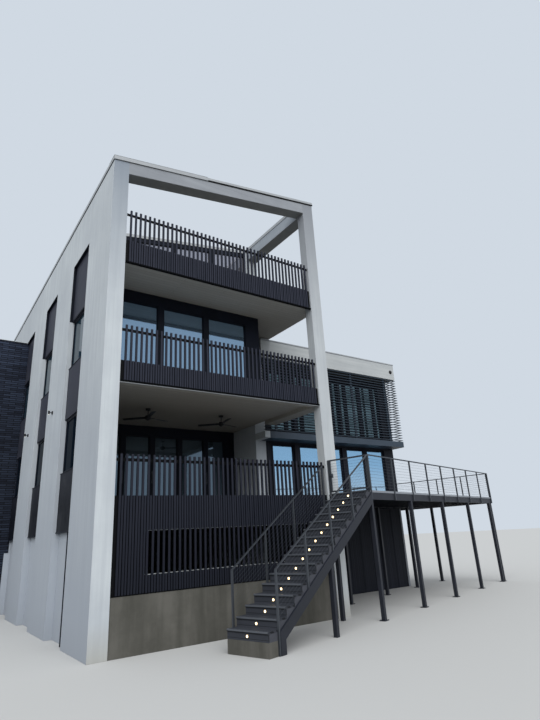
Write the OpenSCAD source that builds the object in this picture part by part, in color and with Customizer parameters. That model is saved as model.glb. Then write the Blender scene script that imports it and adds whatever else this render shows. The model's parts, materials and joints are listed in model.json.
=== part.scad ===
// Beach house: a tall block with stacked balconies behind slatted screens, a louvred wing,
// and a raised deck reached by an open-air stair.
// X runs along the front, Y runs back, Z is up; sizes are in millimetres.
// Places are measured from the block's left front corner at the lowest ground, and the whole
// is then moved so that its origin lies under the middle of its bounding box.

/* [Main block] */
// Width of the main block across its front
block_w = 6990; // [6400:10:7800]
// Depth of the main block, front to back
block_d = 15200; // [14000:100:18000]
// Thickness of the left side wall, which shows as the front fin
fin_w = 410; // [300:10:500]
// Width of the right post and of the right side wall behind it
post_w = 430; // [320:10:480]
// Depth of the right post, front to back
portal_d = 310; // [240:10:420]
// Thickness of the back wall
back_t = 300; // [200:10:400]
// Depth of the open terraces: how far the right side wall and the wing stand back
terrace_d = 3600; // [3300:10:3700]

/* [Levels] */
// Height of the first floor, its terrace and the deck over the lowest ground
floor_1 = 3180; // [3000:10:3400]
// Height from the first floor to the second
storey_1 = 3170; // [3100:10:3300]
// Height from the second floor to the third
storey_2 = 3320; // [3240:10:3450]
// Thickness of the first floor
first_floor_t = 380; // [300:10:480]
// Thickness of the second floor
second_floor_t = 400; // [300:10:460]
// Thickness of the third floor
third_floor_t = 555; // [400:5:640]
// Height of the left side wall's top over the third floor
eave_rise = 2470; // [2300:10:2800]
// Slope of the roof and the front beam, up to the right
roof_pitch = 8.8; // [5:0.1:11]

/* [Portal and roof] */
// Height of the sloping front beam
beam_h = 470; // [380:10:600]
// Depth of the sloping front beam, front to back
beam_d = 390; // [240:10:500]
// Height of the level beam that returns along the right side
return_beam_h = 500; // [400:10:560]
// Thickness of the roof slab
roof_t = 300; // [200:10:340]
// Drop from the top of the walls to the roof slab
roof_drop = 180; // [160:10:220]
// Height of the metal coping on the wall faces
coping_h = 110; // [60:5:120]
// Thickness of the metal coping
coping_t = 20; // [8:1:30]

/* [Slatted screens] */
// Distance between the long slats
slat_pitch = 131; // [110:1:160]
// Width of a long slat
slat_w = 50; // [36:1:60]
// Gap beside a short slat
slat_gap = 18; // [10:1:22]
// Depth of a slat
slat_d = 40; // [30:1:50]
// How far the short slats sit behind the long ones
short_inset = 8; // [2:1:15]
// How far the screens sit behind the front of the portal
screen_inset = 15; // [5:1:40]
// Height of the slat tops over the floor
slat_rise = 920; // [850:10:1000]
// Height of the horizontal rail's top below the slat tops
rail_drop = 90; // [60:5:150]
// Height of the horizontal rail
rail_h = 70; // [30:5:90]
// Thickness of the horizontal rail
rail_t = 20; // [12:1:30]
// Thickness of the sheet behind the short slats
backing_t = 20; // [10:1:30]
// Drop of the roof screen's slats below the ceiling behind them
slat_lip = 85; // [40:5:110]

/* [Lower screen and plinth] */
// Top of the concrete plinth
plinth_h = 1152; // [900:10:1300]
// Thickness of the plinth wall
plinth_t = 300; // [200:10:400]
// Width of the closed sheet beside the vent opening's left end
vent_start = 740; // [400:10:1600]
// Width of the closed sheet beside the vent opening's right end
vent_margin = 60; // [40:5:120]
// Height of the closed sheet between the plinth and the vent opening
vent_sill_h = 358; // [250:2:500]
// Height of the vent opening
vent_h = 924; // [700:2:1000]
// Thickness of the ground storey's right side wall
ground_wall_t = 200; // [150:10:300]

/* [Side wall strips] */
// Start of the first window strip in the left wall
strip_y = 2020; // [1200:10:2100]
// Width of a window strip
strip_w = 1650; // [1200:10:1660]
// Distance between the window strips
strip_pitch = 3740; // [3400:10:3740]
// Number of window strips
strip_count = 3; // [1:1:3]
// Height of a strip window
strip_window_h = 1520; // [1200:10:1700]
// Reach of the lowest spandrel panel below the first floor
strip_foot = 650; // [600:10:900]
// Reach of the highest spandrel panel over the third floor
strip_top = 860; // [700:10:1200]
// Height of the strip window's sill over the first floor
strip_sill_h_1 = 900; // [700:10:1000]
// Height of the strip window's sill over the second floor
strip_sill_h_2 = 780; // [600:10:900]
// Depth of the panels behind the wall face
panel_inset = 90; // [40:5:140]
// Thickness of a spandrel panel
panel_t = 180; // [100:5:200]
// Depth of the white recess below the strips
recess_d = 190; // [100:5:250]

/* [Windows] */
// Front of the second floor window wall
window_wall_2_y = 1650; // [1300:10:2200]
// Right end of the second floor window wall
window_wall_2_x = 5580; // [5300:10:6000]
// Front of the first floor window wall
window_wall_1_y = 5100; // [4600:10:5600]
// Front of the third floor window wall
window_wall_3_y = 3800; // [3650:10:4400]
// Depth of the window walls
frame_d = 150; // [100:5:200]
// Width of the frame bars at the edges of a window
frame_w = 60; // [40:5:75]
// Depth of a side window's frame
small_frame_d = 80; // [60:5:100]
// Height of the sill under the tall windows
sill_h = 80; // [50:5:120]
// Height of the dark band over the tall windows
head_band = 350; // [200:10:450]
// Width of a mullion in the window walls
mullion_w = 180; // [90:5:220]
// Thickness of the glass units
glass_t = 24; // [16:1:40]
// Distance between the mullions of the second floor window wall
pane_pitch_2 = 1500; // [1400:10:1550]
// Width of the second floor's right-hand pane
last_pane_2 = 1350; // [1200:10:1400]
// Width of the wall beside the second floor's right-hand pane
jamb_2 = 530; // [400:10:560]
// Distance between the mullions of the first floor window wall
pane_pitch_1 = 1023; // [900:1:1060]
// Width of the first floor's right-hand pane
last_pane_1 = 674; // [600:1:760]
// Number of panes in the first floor window wall
pane_count_1 = 6; // [4:1:6]
// Width of the wall beside the first floor's right-hand pane
jamb_1 = 430; // [300:10:500]
// Number of panes in the third floor window wall
pane_count_3 = 4; // [2:1:5]
// Thickness of the second floor's terrace walls
terrace_wall_t = 200; // [150:10:250]
// Width of a back window
back_window_w = 1800; // [1200:50:2400]
// Height of a back window
back_window_h = 1500; // [1200:10:1550]
// Height of a back window's sill over its floor
back_sill_h = 850; // [700:10:900]
// Depth of the frames behind the face of the walls that they stand in
frame_setback = 60; // [30:5:90]

/* [Floors] */
// Width of the beam under the second floor's front edge
edge_beam_w = 300; // [200:10:400]
// Drop of the edge beams below the ceiling
edge_beam_drop = 120; // [80:5:160]

/* [Brick tower] */
// Width of the tower beside the left wall
tower_w = 2400; // [1800:10:3200]
// Front of the tower
tower_y = 11170; // [11160:10:11900]
// Height of the tower wall
tower_h = 10540; // [10000:10:11000]
// Thickness of the tower walls
tower_t = 300; // [200:10:400]
// Thickness of the tower's top
tower_roof_t = 250; // [150:10:350]
// Height of the tower's coping
tower_coping_h = 40; // [20:5:60]

/* [Wing] */
// Length of the wing along its front
wing_l = 6610; // [6320:10:7500]
// Depth of the wing, front to back
wing_d = 7200; // [6000:10:8400]
// Thickness of the wing's walls
wing_t = 250; // [200:10:320]
// Reach of the fascia, louvres and ledge in front of the wing's wall
wing_reach = 620; // [400:10:700]
// Reach of the fascia and louvres past the wing's right end
wing_side_reach = 40; // [20:5:200]
// Height of the wing's upper floor over the deck
wing_storey = 2520; // [2480:10:2600]
// Thickness of the wing's floors and roof
wing_slab_t = 250; // [200:10:300]
// Height of the ledge's underside over the deck
ledge_rise = 2210; // [2180:10:2300]
// Height of the ledge under the louvres
ledge_h = 230; // [180:10:280]
// Height of the louvres, from the ledge to the fascia
louvre_h = 2730; // [2600:10:2900]
// Height of the white fascia
fascia_h = 680; // [560:10:800]
// Thickness of the fascia wall
fascia_t = 200; // [150:10:240]
// Height of the coping on the fascia
fascia_coping_h = 40; // [20:5:60]
// Lap of the coping past the fascia's faces
fascia_coping_lap = 15; // [5:1:25]

/* [Wing windows] */
// Distance between the window bays of the wing
wing_bay = 2385; // [2300:5:2500]
// Width of a sliding door unit
wing_door_w = 2150; // [2000:10:2200]
// Wall between the right-hand door unit and the wing's right end
wing_end_pier = 540; // [450:10:700]
// Wall between the main block and the left-hand units
wing_near_pier = 200; // [120:10:300]
// Height of the sliding doors
wing_door_h = 2150; // [2050:10:2170]
// Width of the two meeting stiles of a door unit
meeting_w = 240; // [160:10:300]
// Width of a wide light of a window
wing_light_w = 615; // [500:5:660]
// Width of a narrow side light of a window
wing_side_light_w = 180; // [120:5:220]
// Width of the bar between a wide and a narrow light
wing_bar_w = 170; // [100:5:210]
// Height of the upper windows' sills over the wing's upper floor
wing_sill_h = 120; // [80:10:500]
// Height of the upper windows
wing_window_h = 2260; // [1700:10:2300]
// Width of the middle mullion of a window
wing_mullion_w = 215; // [120:5:260]
// Depth of the wing's door and window frames
wing_frame_d = 100; // [80:5:130]

/* [Louvres] */
// Number of louvre blades
louvre_count = 25; // [18:1:28]
// Thickness of a blade
louvre_t = 18; // [10:1:40]
// Depth of a blade, front to back
louvre_d = 60; // [40:5:120]
// Width of a louvre post
louvre_post_w = 100; // [60:5:170]
// Depth of a louvre post behind the blades
louvre_post_d = 40; // [25:5:60]
// Distance between the louvre posts
louvre_post_pitch = 1950; // [1700:10:2000]
// Distance of the last louvre post from the louvres' right end
louvre_post_end = 640; // [400:10:700]

/* [Deck] */
// Distance of the deck's left front corner in from the block's right side
deck_in = 40; // [-60:10:90]
// Distance of the deck's left front corner before the block's front
deck_reach = 1286; // [1200:1:1500]
// Turn of the deck and stair away from the block's front
deck_turn = 15; // [12:0.5:18]
// Length of the deck's front edge
deck_l = 9850; // [9700:50:11000]
// Depth of the deck at its right end
deck_end_d = 4300; // [4200:50:4600]
// Thickness of the deck boards
board_t = 30; // [22:1:40]
// Height of the deck's beams
deck_beam_h = 210; // [160:10:260]
// Thickness of the deck's beams
deck_beam_t = 50; // [38:1:70]
// Distance between the deck's joists
joist_pitch = 600; // [450:10:800]
// Width of a deck post
deck_post_w = 100; // [80:5:140]
// Number of bays between the deck's posts
deck_bays = 4; // [3:1:5]
// Gap between the two posts at the deck's right corner
corner_gap = 50; // [30:5:120]
// Distance of the middle row of posts from the deck's front
middle_row_y = 2450; // [2200:10:2500]

/* [Deck rail] */
// Height of the rail over the deck
guard_h = 970; // [900:10:1070]
// Width of a rail post
guard_post_w = 40; // [30:1:50]
// Thickness of the top rail
top_rail_t = 30; // [20:1:40]
// Number of cables
cable_count = 10; // [6:1:12]
// Diameter of a cable
cable_d = 5; // [4:1:10]
// Length of the first bay along the deck's front
first_bay = 1360; // [1200:10:1500]
// Number of bays along the deck's front
front_bays = 8; // [6:1:10]
// Number of bays along the deck's right end
end_bays = 4; // [3:1:5]

/* [Stair] */
// Number of risers
riser_count = 16; // [15:1:17]
// Depth of a tread, riser to riser
tread_run = 280; // [260:1:300]
// Width of the stair
stair_w = 1090; // [950:10:1150]
// Height of the footing that the stair stands on
footing_h = 268; // [200:1:400]
// Distance from the last riser to the deck's edge
stair_top_gap = 263; // [200:1:320]
// Thickness of a tread
tread_t = 38; // [25:1:45]
// Thickness of a riser board
riser_t = 20; // [12:1:30]
// Reach of a tread past the riser under it
nosing = 20; // [5:1:30]
// Thickness of a stringer and of the band outside it
stringer_t = 50; // [38:1:60]
// Drop of the band's top edge below the line of the nosings
band_drop = 250; // [240:5:280]
// Height of the band, measured plumb
band_h = 250; // [200:5:300]
// Length of the band's foot along the ground
band_foot = 160; // [120:5:220]
// Height of the right-hand rail over the line of the nosings, at the foot
right_rail_h = 900; // [850:10:950]
// Height of the left-hand rail over the line of the nosings
left_rail_h = 980; // [940:10:1050]
// Distance of the first right-hand post from the deck's edge
right_post_reach = 4200; // [4180:10:4250]
// Number of bays of the right-hand stair rail
right_rail_bays = 4; // [3:1:5]
// Distance of the stair's support from the deck's edge
stair_prop_reach = 2250; // [1900:10:2600]

/* [Stair gate] */
// Clearance round the gate
gate_gap = 15; // [12:1:20]
// Height of the gate's underside over the deck
gate_lift = 60; // [30:1:100]
// Radius of a hinge pin
hinge_pin_r = 6; // [5:0.5:6.5]
// Clearance of a hinge pin in its knuckle
hinge_fit = 0.08; // [0.05:0.01:0.1]
// Height of a knuckle
knuckle_h = 30; // [20:1:50]
// Height of the lower hinge over the deck
lower_hinge_z = 200; // [150:10:300]
// Height of the upper hinge over the deck
upper_hinge_z = 800; // [700:10:850]

/* [Ceiling fans] */
// Distance between the two fans
fan_spacing = 2490; // [2200:10:3000]
// Distance of the fans from the block's front
fan_y = 2820; // [2000:10:3600]
// Radius of a fan's blades
fan_r = 760; // [500:10:850]
// Drop of the blades below the ceiling
fan_drop = 270; // [220:5:400]
// Number of blades on a fan
blade_count = 3; // [3:1:5]
// Width of a blade
blade_w = 130; // [90:5:140]
// Thickness of a blade
blade_t = 10; // [6:1:14]
// Twist of a blade out of level
blade_tilt = 10; // [0:1:15]
// Turn of the first blade from the X axis
blade_turn = 20; // [0:1:119]
// Radius of a fan's hub
hub_r = 80; // [60:1:100]
// Height of a fan's hub
hub_h = 104; // [90:1:130]
// Radius of a fan's rod
rod_r = 14; // [10:1:18]
// Radius of the cover where the rod meets the ceiling
canopy_r = 70; // [50:1:90]
// Height of the cover where the rod meets the ceiling
canopy_h = 50; // [30:1:60]
// Depth of the rod in the hub
rod_seat = 60; // [40:1:80]
// Play under the rod's end in the hub
rod_play = 6; // [5:1:12]

/* [Wall lights] */
// Distance of the first wall light from the front
light_y = 4920; // [4200:10:5000]
// Distance between the wall lights
light_pitch = 3740; // [3700:10:3800]
// Height of the wall lights
light_z = 6100; // [5900:10:6400]
// Radius of a wall light
light_r = 55; // [40:1:70]
// Radius of the dome light on the wing's fascia
dome_r = 70; // [50:1:90]
// Distance of the dome light from the fascia's right end
dome_in = 220; // [150:10:400]
// Height of the dome light over the fascia's lower edge
dome_rise = 340; // [200:10:450]

/* [Hidden] */
$fn = 32;

// Colours, as the house shows them
white = "#c9cdd0";
charcoal = "#30313a";
concrete = "#6f6c66";
soffit_grey = "#5d5a55";
deck_grey = "#4b4c52";
steel = "#8a8c90";
brick = "#23262e";
glass = "#5d7f90";
spandrel = "#3d3b47";

// How far a cutting shape runs past the face that it cuts
cut = 1;
// A size larger than the house, for cutting shapes that have no end of their own
far = 30000;

// Levels over the lowest ground
floor_2 = floor_1 + storey_1;
floor_3 = floor_2 + storey_2;
under_1 = floor_1 - first_floor_t;
under_2 = floor_2 - second_floor_t;
under_3 = floor_3 - third_floor_t;
eave_z = floor_3 + eave_rise;

// The block's inner faces
right_x0 = block_w - post_w;
inner_w = right_x0 - fin_w;
back_y0 = block_d - back_t;
right_top = roof_z(right_x0);

// The screens' planes, front to back, and the spacing of their slats
screen_y1 = screen_inset + slat_d;
slab_y0 = screen_y1 + backing_t;
slat_count = floor(inner_w / slat_pitch);
slat_start = fin_w + (inner_w - slat_count * slat_pitch) / 2;
short_w = slat_pitch - slat_w - 2 * slat_gap;

// The vent opening in the lower screen
vent_x = fin_w + vent_start;
vent_z0 = plinth_h + vent_sill_h;
vent_z1 = vent_z0 + vent_h;

// The strip windows
strip_z0 = floor_1 - strip_foot;
strip_z1 = floor_3 + strip_top;
strip_sill_1 = floor_1 + strip_sill_h_1;
strip_sill_2 = floor_2 + strip_sill_h_2;
strip_head_1 = strip_sill_1 + strip_window_h;
strip_head_2 = strip_sill_2 + strip_window_h;
strip_frame_x = panel_inset + (panel_t - small_frame_d) / 2;
back_window_xs = [for (i = [1, 3]) fin_w + i * inner_w / 4 - back_window_w / 2];
back_sills = [for (f = [floor_1, floor_2, floor_3]) f + back_sill_h];

// The wing
wing_x1 = block_w + wing_l;
wing_y0 = terrace_d;
wing_y1 = wing_y0 + wing_d;
wing_floor_2 = floor_1 + wing_storey;
wing_sill = wing_floor_2 + wing_sill_h;
wing_head = wing_sill + wing_window_h;
wing_door_head = floor_1 + wing_door_h;
lower_sill = floor_1 + back_sill_h;
ledge_z0 = floor_1 + ledge_rise;
ledge_z1 = ledge_z0 + ledge_h;
fascia_z0 = ledge_z1 + louvre_h;
fascia_z1 = fascia_z0 + fascia_h;
wing_front = wing_y0 - wing_reach;
wing_right = wing_x1 + wing_side_reach;
wing_back = wing_y1 + wing_side_reach;
wing_bays = [for (i = [2, 1, 0]) wing_x1 - wing_end_pier - wing_door_w / 2 - i * wing_bay];
wing_near = block_w + wing_near_pier;
wing_window_w = wing_mullion_w + 2 * (wing_light_w + wing_bar_w + wing_side_light_w + frame_w);
front_frame_y = wing_y0 + frame_setback;
rear_frame_y = wing_y1 - frame_setback - wing_frame_d;
louvre_pitch = louvre_h / louvre_count;

// The deck and the stair, in the deck's own turned frame
deck_x = block_w - deck_in;
deck_y = -deck_reach;
deck_end_x = deck_l - deck_post_w;
deck_post_pitch = (deck_end_x - corner_gap - deck_post_w) / deck_bays;
back_rail_x = (wing_x1 + gate_gap - deck_x + (deck_end_d + guard_post_w) * sin(deck_turn)) / cos(deck_turn);
deck_under = floor_1 - board_t - deck_beam_h;
rise = (floor_1 - footing_h) / riser_count;
stair_slope = rise / tread_run;
stair_start = riser_x(1) - nosing;
band_x0 = guard_post_w - right_post_reach;
heel_x = stair_start + (footing_h + band_drop + band_h - tread_z(1)) / stair_slope;
rail_foot_z = nosing_z(-right_post_reach) + right_rail_h;
right_rail_slope = (floor_1 + guard_h - rail_foot_z) / right_post_reach;
cable_pitch = (guard_h - top_rail_t) / (cable_count + 1);
// A hinge: its plates' thickness and rim round the pin, their play, the knuckle's wall, and how
// far plates and knuckle run into the bars that they are welded to
plate_t = 8;
plate_rim = 3;
hinge_play = 0.3;
knuckle_wall = 5;
plate_lap = 2;
knuckle_lap = 10;
latch_y = (-deck_y - gate_gap - guard_post_w * sin(deck_turn)) / cos(deck_turn) - guard_post_w;
gate_l = latch_y - 2 * gate_gap;
hinge_x = guard_post_w + gate_gap;
hinge_y = gate_gap / 2;

// The lower end of a fan's rod, below the ceiling
rod_foot = hub_h / 2 - fan_drop - rod_seat;

// The treads that carry the left-hand rail's posts
left_post_treads = [1, 5, 9, 14];

// The middle of the bounding box
box_x0 = -tower_w - coping_t;
box_x1 = deck_x + (deck_l + guard_post_w) * cos(deck_turn) + guard_post_w * sin(deck_turn);
box_y0 = deck_y + stair_start * sin(deck_turn);
box_y1 = block_d + coping_t;
origin_x = (box_x0 + box_x1) / 2;
origin_y = (box_y0 + box_y1) / 2;

// Height of the sloping wall tops at a place along X, to a tenth of a millimetre
function roof_z(x) = round(10 * (eave_z + x * tan(roof_pitch))) / 10;

// Front of a riser in the deck's frame; the last one is next to the deck
function riser_x(k) = -stair_top_gap - (riser_count - k) * tread_run;

// Top of a tread
function tread_z(k) = footing_h + k * rise;

// Height of the line that touches every nosing
function nosing_z(x) = tread_z(1) + (x - stair_start) * stair_slope;

// Height of the stringers' lower edge
function stringer_z(x) = nosing_z(x) - band_drop - band_h;

// Heights of the stair's handrails
function right_rail_z(x) = rail_foot_z + (x + right_post_reach) * right_rail_slope;
function left_rail_z(x) = nosing_z(x) + left_rail_h;

// A box from its ranges along X, Y and Z
module block(x, y, z) {
  translate([x[0], y[0], z[0]]) cube([x[1] - x[0], y[1] - y[0], z[1] - z[0]]);
}

// A profile drawn in X and Z, run from one Y to another
module run_back(y0, y1) {
  translate([0, y1, 0]) rotate([90, 0, 0]) linear_extrude(y1 - y0) children();
}

// A profile drawn in Y and Z, run from one X to another
module run_across(x0, x1) {
  translate([x0, 0, 0]) rotate([90, 0, 90]) linear_extrude(x1 - x0) children();
}

// Moves a shape to the bounding box's middle
module place() {
  translate([-origin_x, -origin_y, 0]) children();
}

// The frame that the deck and stair are drawn in, with its origin at the deck's left front corner
module deck_place() {
  translate([deck_x, deck_y, 0]) rotate([0, 0, deck_turn]) children();
}

// A band that follows the roof's slope, between two depths under the wall tops, in X and Z
module sloping_band(x0, x1, top, bottom) {
  z0 = roof_z(x0);
  z1 = roof_z(x1);
  polygon([[x0, z0 - bottom], [x1, z1 - bottom], [x1, z1 - top], [x0, z0 - top]]);
}

// A wall's front from the ground up to the roof's slope, in X and Z
module sloping_wall(x0, x1) {
  polygon([[x0, 0], [x1, 0], [x1, roof_z(x1)], [x0, roof_z(x0)]]);
}

module each_strip() {
  for (i = [0 : strip_count - 1]) translate([0, strip_y + i * strip_pitch, 0]) children();
}

module left_wall() {
  color(white) difference() {
    union() {
      block([0, fin_w], [portal_d, block_d], [0, eave_z]);
      run_back(0, portal_d) sloping_wall(0, fin_w);
    }
    each_strip() block([-cut, fin_w + cut], [0, strip_w], [strip_z0, strip_z1]);
    each_strip() block([-cut, recess_d], [0, strip_w], [-cut, strip_z0]);
  }
}

module strip_panels() {
  color(spandrel) each_strip() {
    block([panel_inset, panel_inset + panel_t], [0, strip_w], [strip_z0, strip_sill_1]);
    block([panel_inset, panel_inset + panel_t], [0, strip_w], [strip_head_1, strip_sill_2]);
    block([panel_inset, panel_inset + panel_t], [0, strip_w], [strip_head_2, strip_z1]);
  }
}

module each_strip_window() {
  each_strip() for (z = [strip_sill_1, strip_sill_2]) translate([strip_frame_x, 0, z]) children();
}

module each_back_window() {
  for (x = back_window_xs, z = back_sills) translate([x, back_y0, z]) children();
}

// A window's frame in its own plane, with its lower left corner at the origin
module window_ring(w, h) {
  difference() {
    square([w, h]);
    translate([frame_w, frame_w]) square([w - 2 * frame_w, h - 2 * frame_w]);
  }
}

module side_window_frames() {
  color(charcoal) {
    each_strip_window() run_across(0, small_frame_d) window_ring(strip_w, strip_window_h);
    each_back_window() run_back(back_t - frame_setback - small_frame_d, back_t - frame_setback)
      window_ring(back_window_w, back_window_h);
  }
}

module side_window_glass() {
  inset = (small_frame_d - glass_t) / 2;
  back_face = back_t - frame_setback - inset;
  color(glass) {
    each_strip_window()
      block([inset, inset + glass_t], [frame_w, strip_w - frame_w], [frame_w, strip_window_h - frame_w]);
    each_back_window()
      block([frame_w, back_window_w - frame_w], [back_face - glass_t, back_face],
            [frame_w, back_window_h - frame_w]);
  }
}

module portal_beam() {
  color(white) run_back(0, beam_d) sloping_band(fin_w, right_x0, 0, beam_h);
}

module return_beam() {
  color(white) block([right_x0, block_w], [portal_d, terrace_d], [right_top - return_beam_h, right_top]);
}

module right_post() {
  color(white) run_back(0, portal_d) sloping_wall(right_x0, block_w);
}

module right_wall() {
  color(white) block([right_x0, block_w], [terrace_d, block_d], [0, right_top]);
}

module back_wall() {
  color(white) difference() {
    run_back(back_y0, block_d) sloping_wall(fin_w, right_x0);
    each_back_window() translate([0, -cut, 0]) cube([back_window_w, back_t + 2 * cut, back_window_h]);
  }
}

module roof_slab() {
  color(soffit_grey) run_back(window_wall_3_y + frame_d, back_y0)
    sloping_band(fin_w, right_x0, roof_drop, roof_drop + roof_t);
}

// The topmost part of every wall that carries a coping
module wall_tops() {
  depth = 2 * coping_h;
  block([0, fin_w], [portal_d, block_d], [eave_z - depth, eave_z]);
  block([right_x0, block_w], [portal_d, block_d], [right_top - depth, right_top]);
  run_back(0, portal_d) {
    sloping_band(0, fin_w, 0, depth);
    sloping_band(right_x0, block_w, 0, depth);
  }
  run_back(0, beam_d) sloping_band(fin_w, right_x0, 0, depth);
  run_back(window_wall_3_y, window_wall_3_y + frame_d) sloping_band(fin_w, right_x0, 0, depth);
  run_back(back_y0, block_d) sloping_band(fin_w, right_x0, 0, depth);
}

// The outside of a cap along a sloping wall top, lapping past its ends
module sloping_cap(x0, x1, y0, y1) {
  run_back(y0 - coping_t, y1 + coping_t) sloping_band(x0, x1, -coping_t, coping_h - coping_t);
}

// The outside of a cap along a level wall top
module level_cap(x0, x1, z) {
  top = z + coping_t;
  block([x0 - coping_t, x1 + coping_t], [portal_d, block_d + coping_t], [top - coping_h, top]);
}

module roof_coping() {
  color(steel) difference() {
    union() {
      sloping_cap(-coping_t, fin_w, 0, portal_d);
      sloping_cap(fin_w, right_x0, 0, beam_d);
      sloping_cap(right_x0, block_w + coping_t, 0, portal_d);
      sloping_cap(fin_w, right_x0, window_wall_3_y, window_wall_3_y + frame_d);
      sloping_cap(fin_w, right_x0, back_y0, block_d);
      level_cap(0, fin_w, eave_z);
      level_cap(right_x0, block_w, right_top);
    }
    wall_tops();
  }
}

// One opening of the third floor window wall, with its head along the roof's slope
module third_floor_opening(i) {
  pitch = inner_w / pane_count_3;
  x0 = fin_w + i * pitch + (i == 0 ? frame_w : mullion_w / 2);
  x1 = fin_w + (i + 1) * pitch - (i == pane_count_3 - 1 ? frame_w : mullion_w / 2);
  head = roof_drop + frame_w;
  polygon([[x0, floor_3 + sill_h], [x1, floor_3 + sill_h], [x1, roof_z(x1) - head], [x0, roof_z(x0) - head]]);
}

module third_floor_windows() {
  color(charcoal) run_back(window_wall_3_y, window_wall_3_y + frame_d) difference() {
    polygon([[fin_w, floor_3], [right_x0, floor_3], [right_x0, right_top], [fin_w, roof_z(fin_w)]]);
    for (i = [0 : pane_count_3 - 1]) third_floor_opening(i);
  }
}

// A floor of the main block, with the strip between the right post and the right side wall
module block_floor(bottom, top, side_bottom, side_y1) {
  block([fin_w, right_x0], [slab_y0, back_y0], [bottom, top]);
  block([right_x0, block_w], [portal_d, side_y1], [side_bottom, top]);
}

module third_floor() {
  color(soffit_grey) block_floor(under_3, floor_3, under_3, terrace_d);
}

module second_floor() {
  beam_z = under_2 - edge_beam_drop;
  color(soffit_grey) {
    block_floor(under_2, floor_2, beam_z, wing_front);
    block([fin_w, right_x0], [slab_y0, slab_y0 + edge_beam_w], [beam_z, floor_2]);
  }
}

module first_floor() {
  color(soffit_grey) block_floor(under_1, floor_1, under_1, terrace_d);
}

// The long slats with the rail behind their tops
module long_slats(z0, z1) {
  for (i = [0 : slat_count - 1]) {
    x = slat_start + (i + 0.5) * slat_pitch;
    block([x - slat_w / 2, x + slat_w / 2], [screen_inset, screen_y1], [z0, z1]);
  }
  block([fin_w, right_x0], [screen_y1, screen_y1 + rail_t], [z1 - rail_drop - rail_h, z1 - rail_drop]);
}

// The short slats between the long ones, over a range along X
module short_slats(x0, x1, z0, z1) {
  for (i = [1 : slat_count - 1]) {
    x = slat_start + i * slat_pitch;
    if (x - short_w / 2 >= x0 && x + short_w / 2 <= x1)
      block([x - short_w / 2, x + short_w / 2], [screen_inset + short_inset, screen_y1], [z0, z1]);
  }
}

module backing(z0, z1) {
  block([fin_w, right_x0], [screen_y1, slab_y0], [z0, z1]);
}

// A screen whose short slats cover the floor's edge
module edge_screen(z0, floor_z) {
  long_slats(z0, floor_z + slat_rise);
  short_slats(fin_w, right_x0, z0, floor_z);
  backing(z0, floor_z);
}

module roof_screen() {
  color(charcoal) edge_screen(under_3 - slat_lip, floor_3);
}

module balcony_screen() {
  color(charcoal) edge_screen(under_2 - edge_beam_drop, floor_2);
}

module lower_screen() {
  color(charcoal) {
    long_slats(plinth_h, floor_1 + slat_rise);
    short_slats(fin_w, vent_x, plinth_h, floor_1);
    short_slats(vent_x, right_x0, plinth_h, vent_z0);
    short_slats(vent_x, right_x0, vent_z1, floor_1);
    difference() {
      backing(plinth_h, floor_1);
      block([vent_x, right_x0 - vent_margin], [screen_y1 - cut, slab_y0 + cut], [vent_z0, vent_z1]);
    }
  }
}

// The plinth under the lower screen, and the footing under the stair
module plinth() {
  color(concrete) {
    block([fin_w, right_x0], [screen_inset, screen_inset + plinth_t], [0, plinth_h]);
    deck_place() block([riser_x(1), heel_x], [0, stair_w], [0, footing_h]);
  }
}

module ground_side_wall() {
  color(charcoal) block([block_w - ground_wall_t, block_w], [portal_d, terrace_d], [0, under_1]);
}

// The openings of the second floor window wall, over a range of depths behind its face
module balcony_panes(y0, y1) {
  last = window_wall_2_x - jamb_2;
  for (i = [0 : 2]) {
    x1 = i == 0 ? last : last - last_pane_2 - mullion_w - (i - 1) * pane_pitch_2;
    x0 = i == 0 ? last - last_pane_2 : max(x1 - pane_pitch_2 + mullion_w, fin_w + frame_w);
    block([x0, x1], [window_wall_2_y + y0, window_wall_2_y + y1], [floor_2 + sill_h, under_3 - head_band]);
  }
}

module balcony_windows() {
  color(charcoal) difference() {
    block([fin_w, window_wall_2_x], [window_wall_2_y, window_wall_2_y + frame_d], [floor_2, under_3]);
    balcony_panes(-cut, frame_d + cut);
  }
}

module balcony_side_wall() {
  color(charcoal) {
    block([window_wall_2_x - terrace_wall_t, window_wall_2_x],
          [window_wall_2_y + frame_d, terrace_d + terrace_wall_t], [floor_2, under_3]);
    block([window_wall_2_x, right_x0], [terrace_d, terrace_d + terrace_wall_t], [floor_2, under_3]);
  }
}

// The openings of the first floor window wall, over a range of depths behind its face
module terrace_panes(y0, y1) {
  last = right_x0 - jamb_1;
  for (i = [0 : pane_count_1 - 1]) {
    x1 = i == 0 ? last : last - last_pane_1 - mullion_w - (i - 1) * pane_pitch_1;
    x0 = i == 0 ? last - last_pane_1 : max(x1 - pane_pitch_1 + mullion_w, fin_w + frame_w);
    block([x0, x1], [window_wall_1_y + y0, window_wall_1_y + y1], [floor_1 + sill_h, under_2 - head_band]);
  }
}

module terrace_windows() {
  color(charcoal) difference() {
    block([fin_w, right_x0], [window_wall_1_y, window_wall_1_y + frame_d], [floor_1, under_2]);
    terrace_panes(-cut, frame_d + cut);
  }
}

module front_glass() {
  y0 = (frame_d - glass_t) / 2;
  y1 = (frame_d + glass_t) / 2;
  color(glass) {
    run_back(window_wall_3_y + y0, window_wall_3_y + y1)
      for (i = [0 : pane_count_3 - 1]) third_floor_opening(i);
    balcony_panes(y0, y1);
    terrace_panes(y0, y1);
  }
}

module brick_tower() {
  color(brick) difference() {
    block([-tower_w, 0], [tower_y, block_d], [0, tower_h]);
    block([tower_t - tower_w, cut], [tower_y + tower_t, block_d - tower_t], [-cut, tower_h - tower_roof_t]);
  }
}

module tower_coping() {
  color(charcoal) block([box_x0, 0], [tower_y - coping_t, box_y1], [tower_h, tower_h + tower_coping_h]);
}

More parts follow.
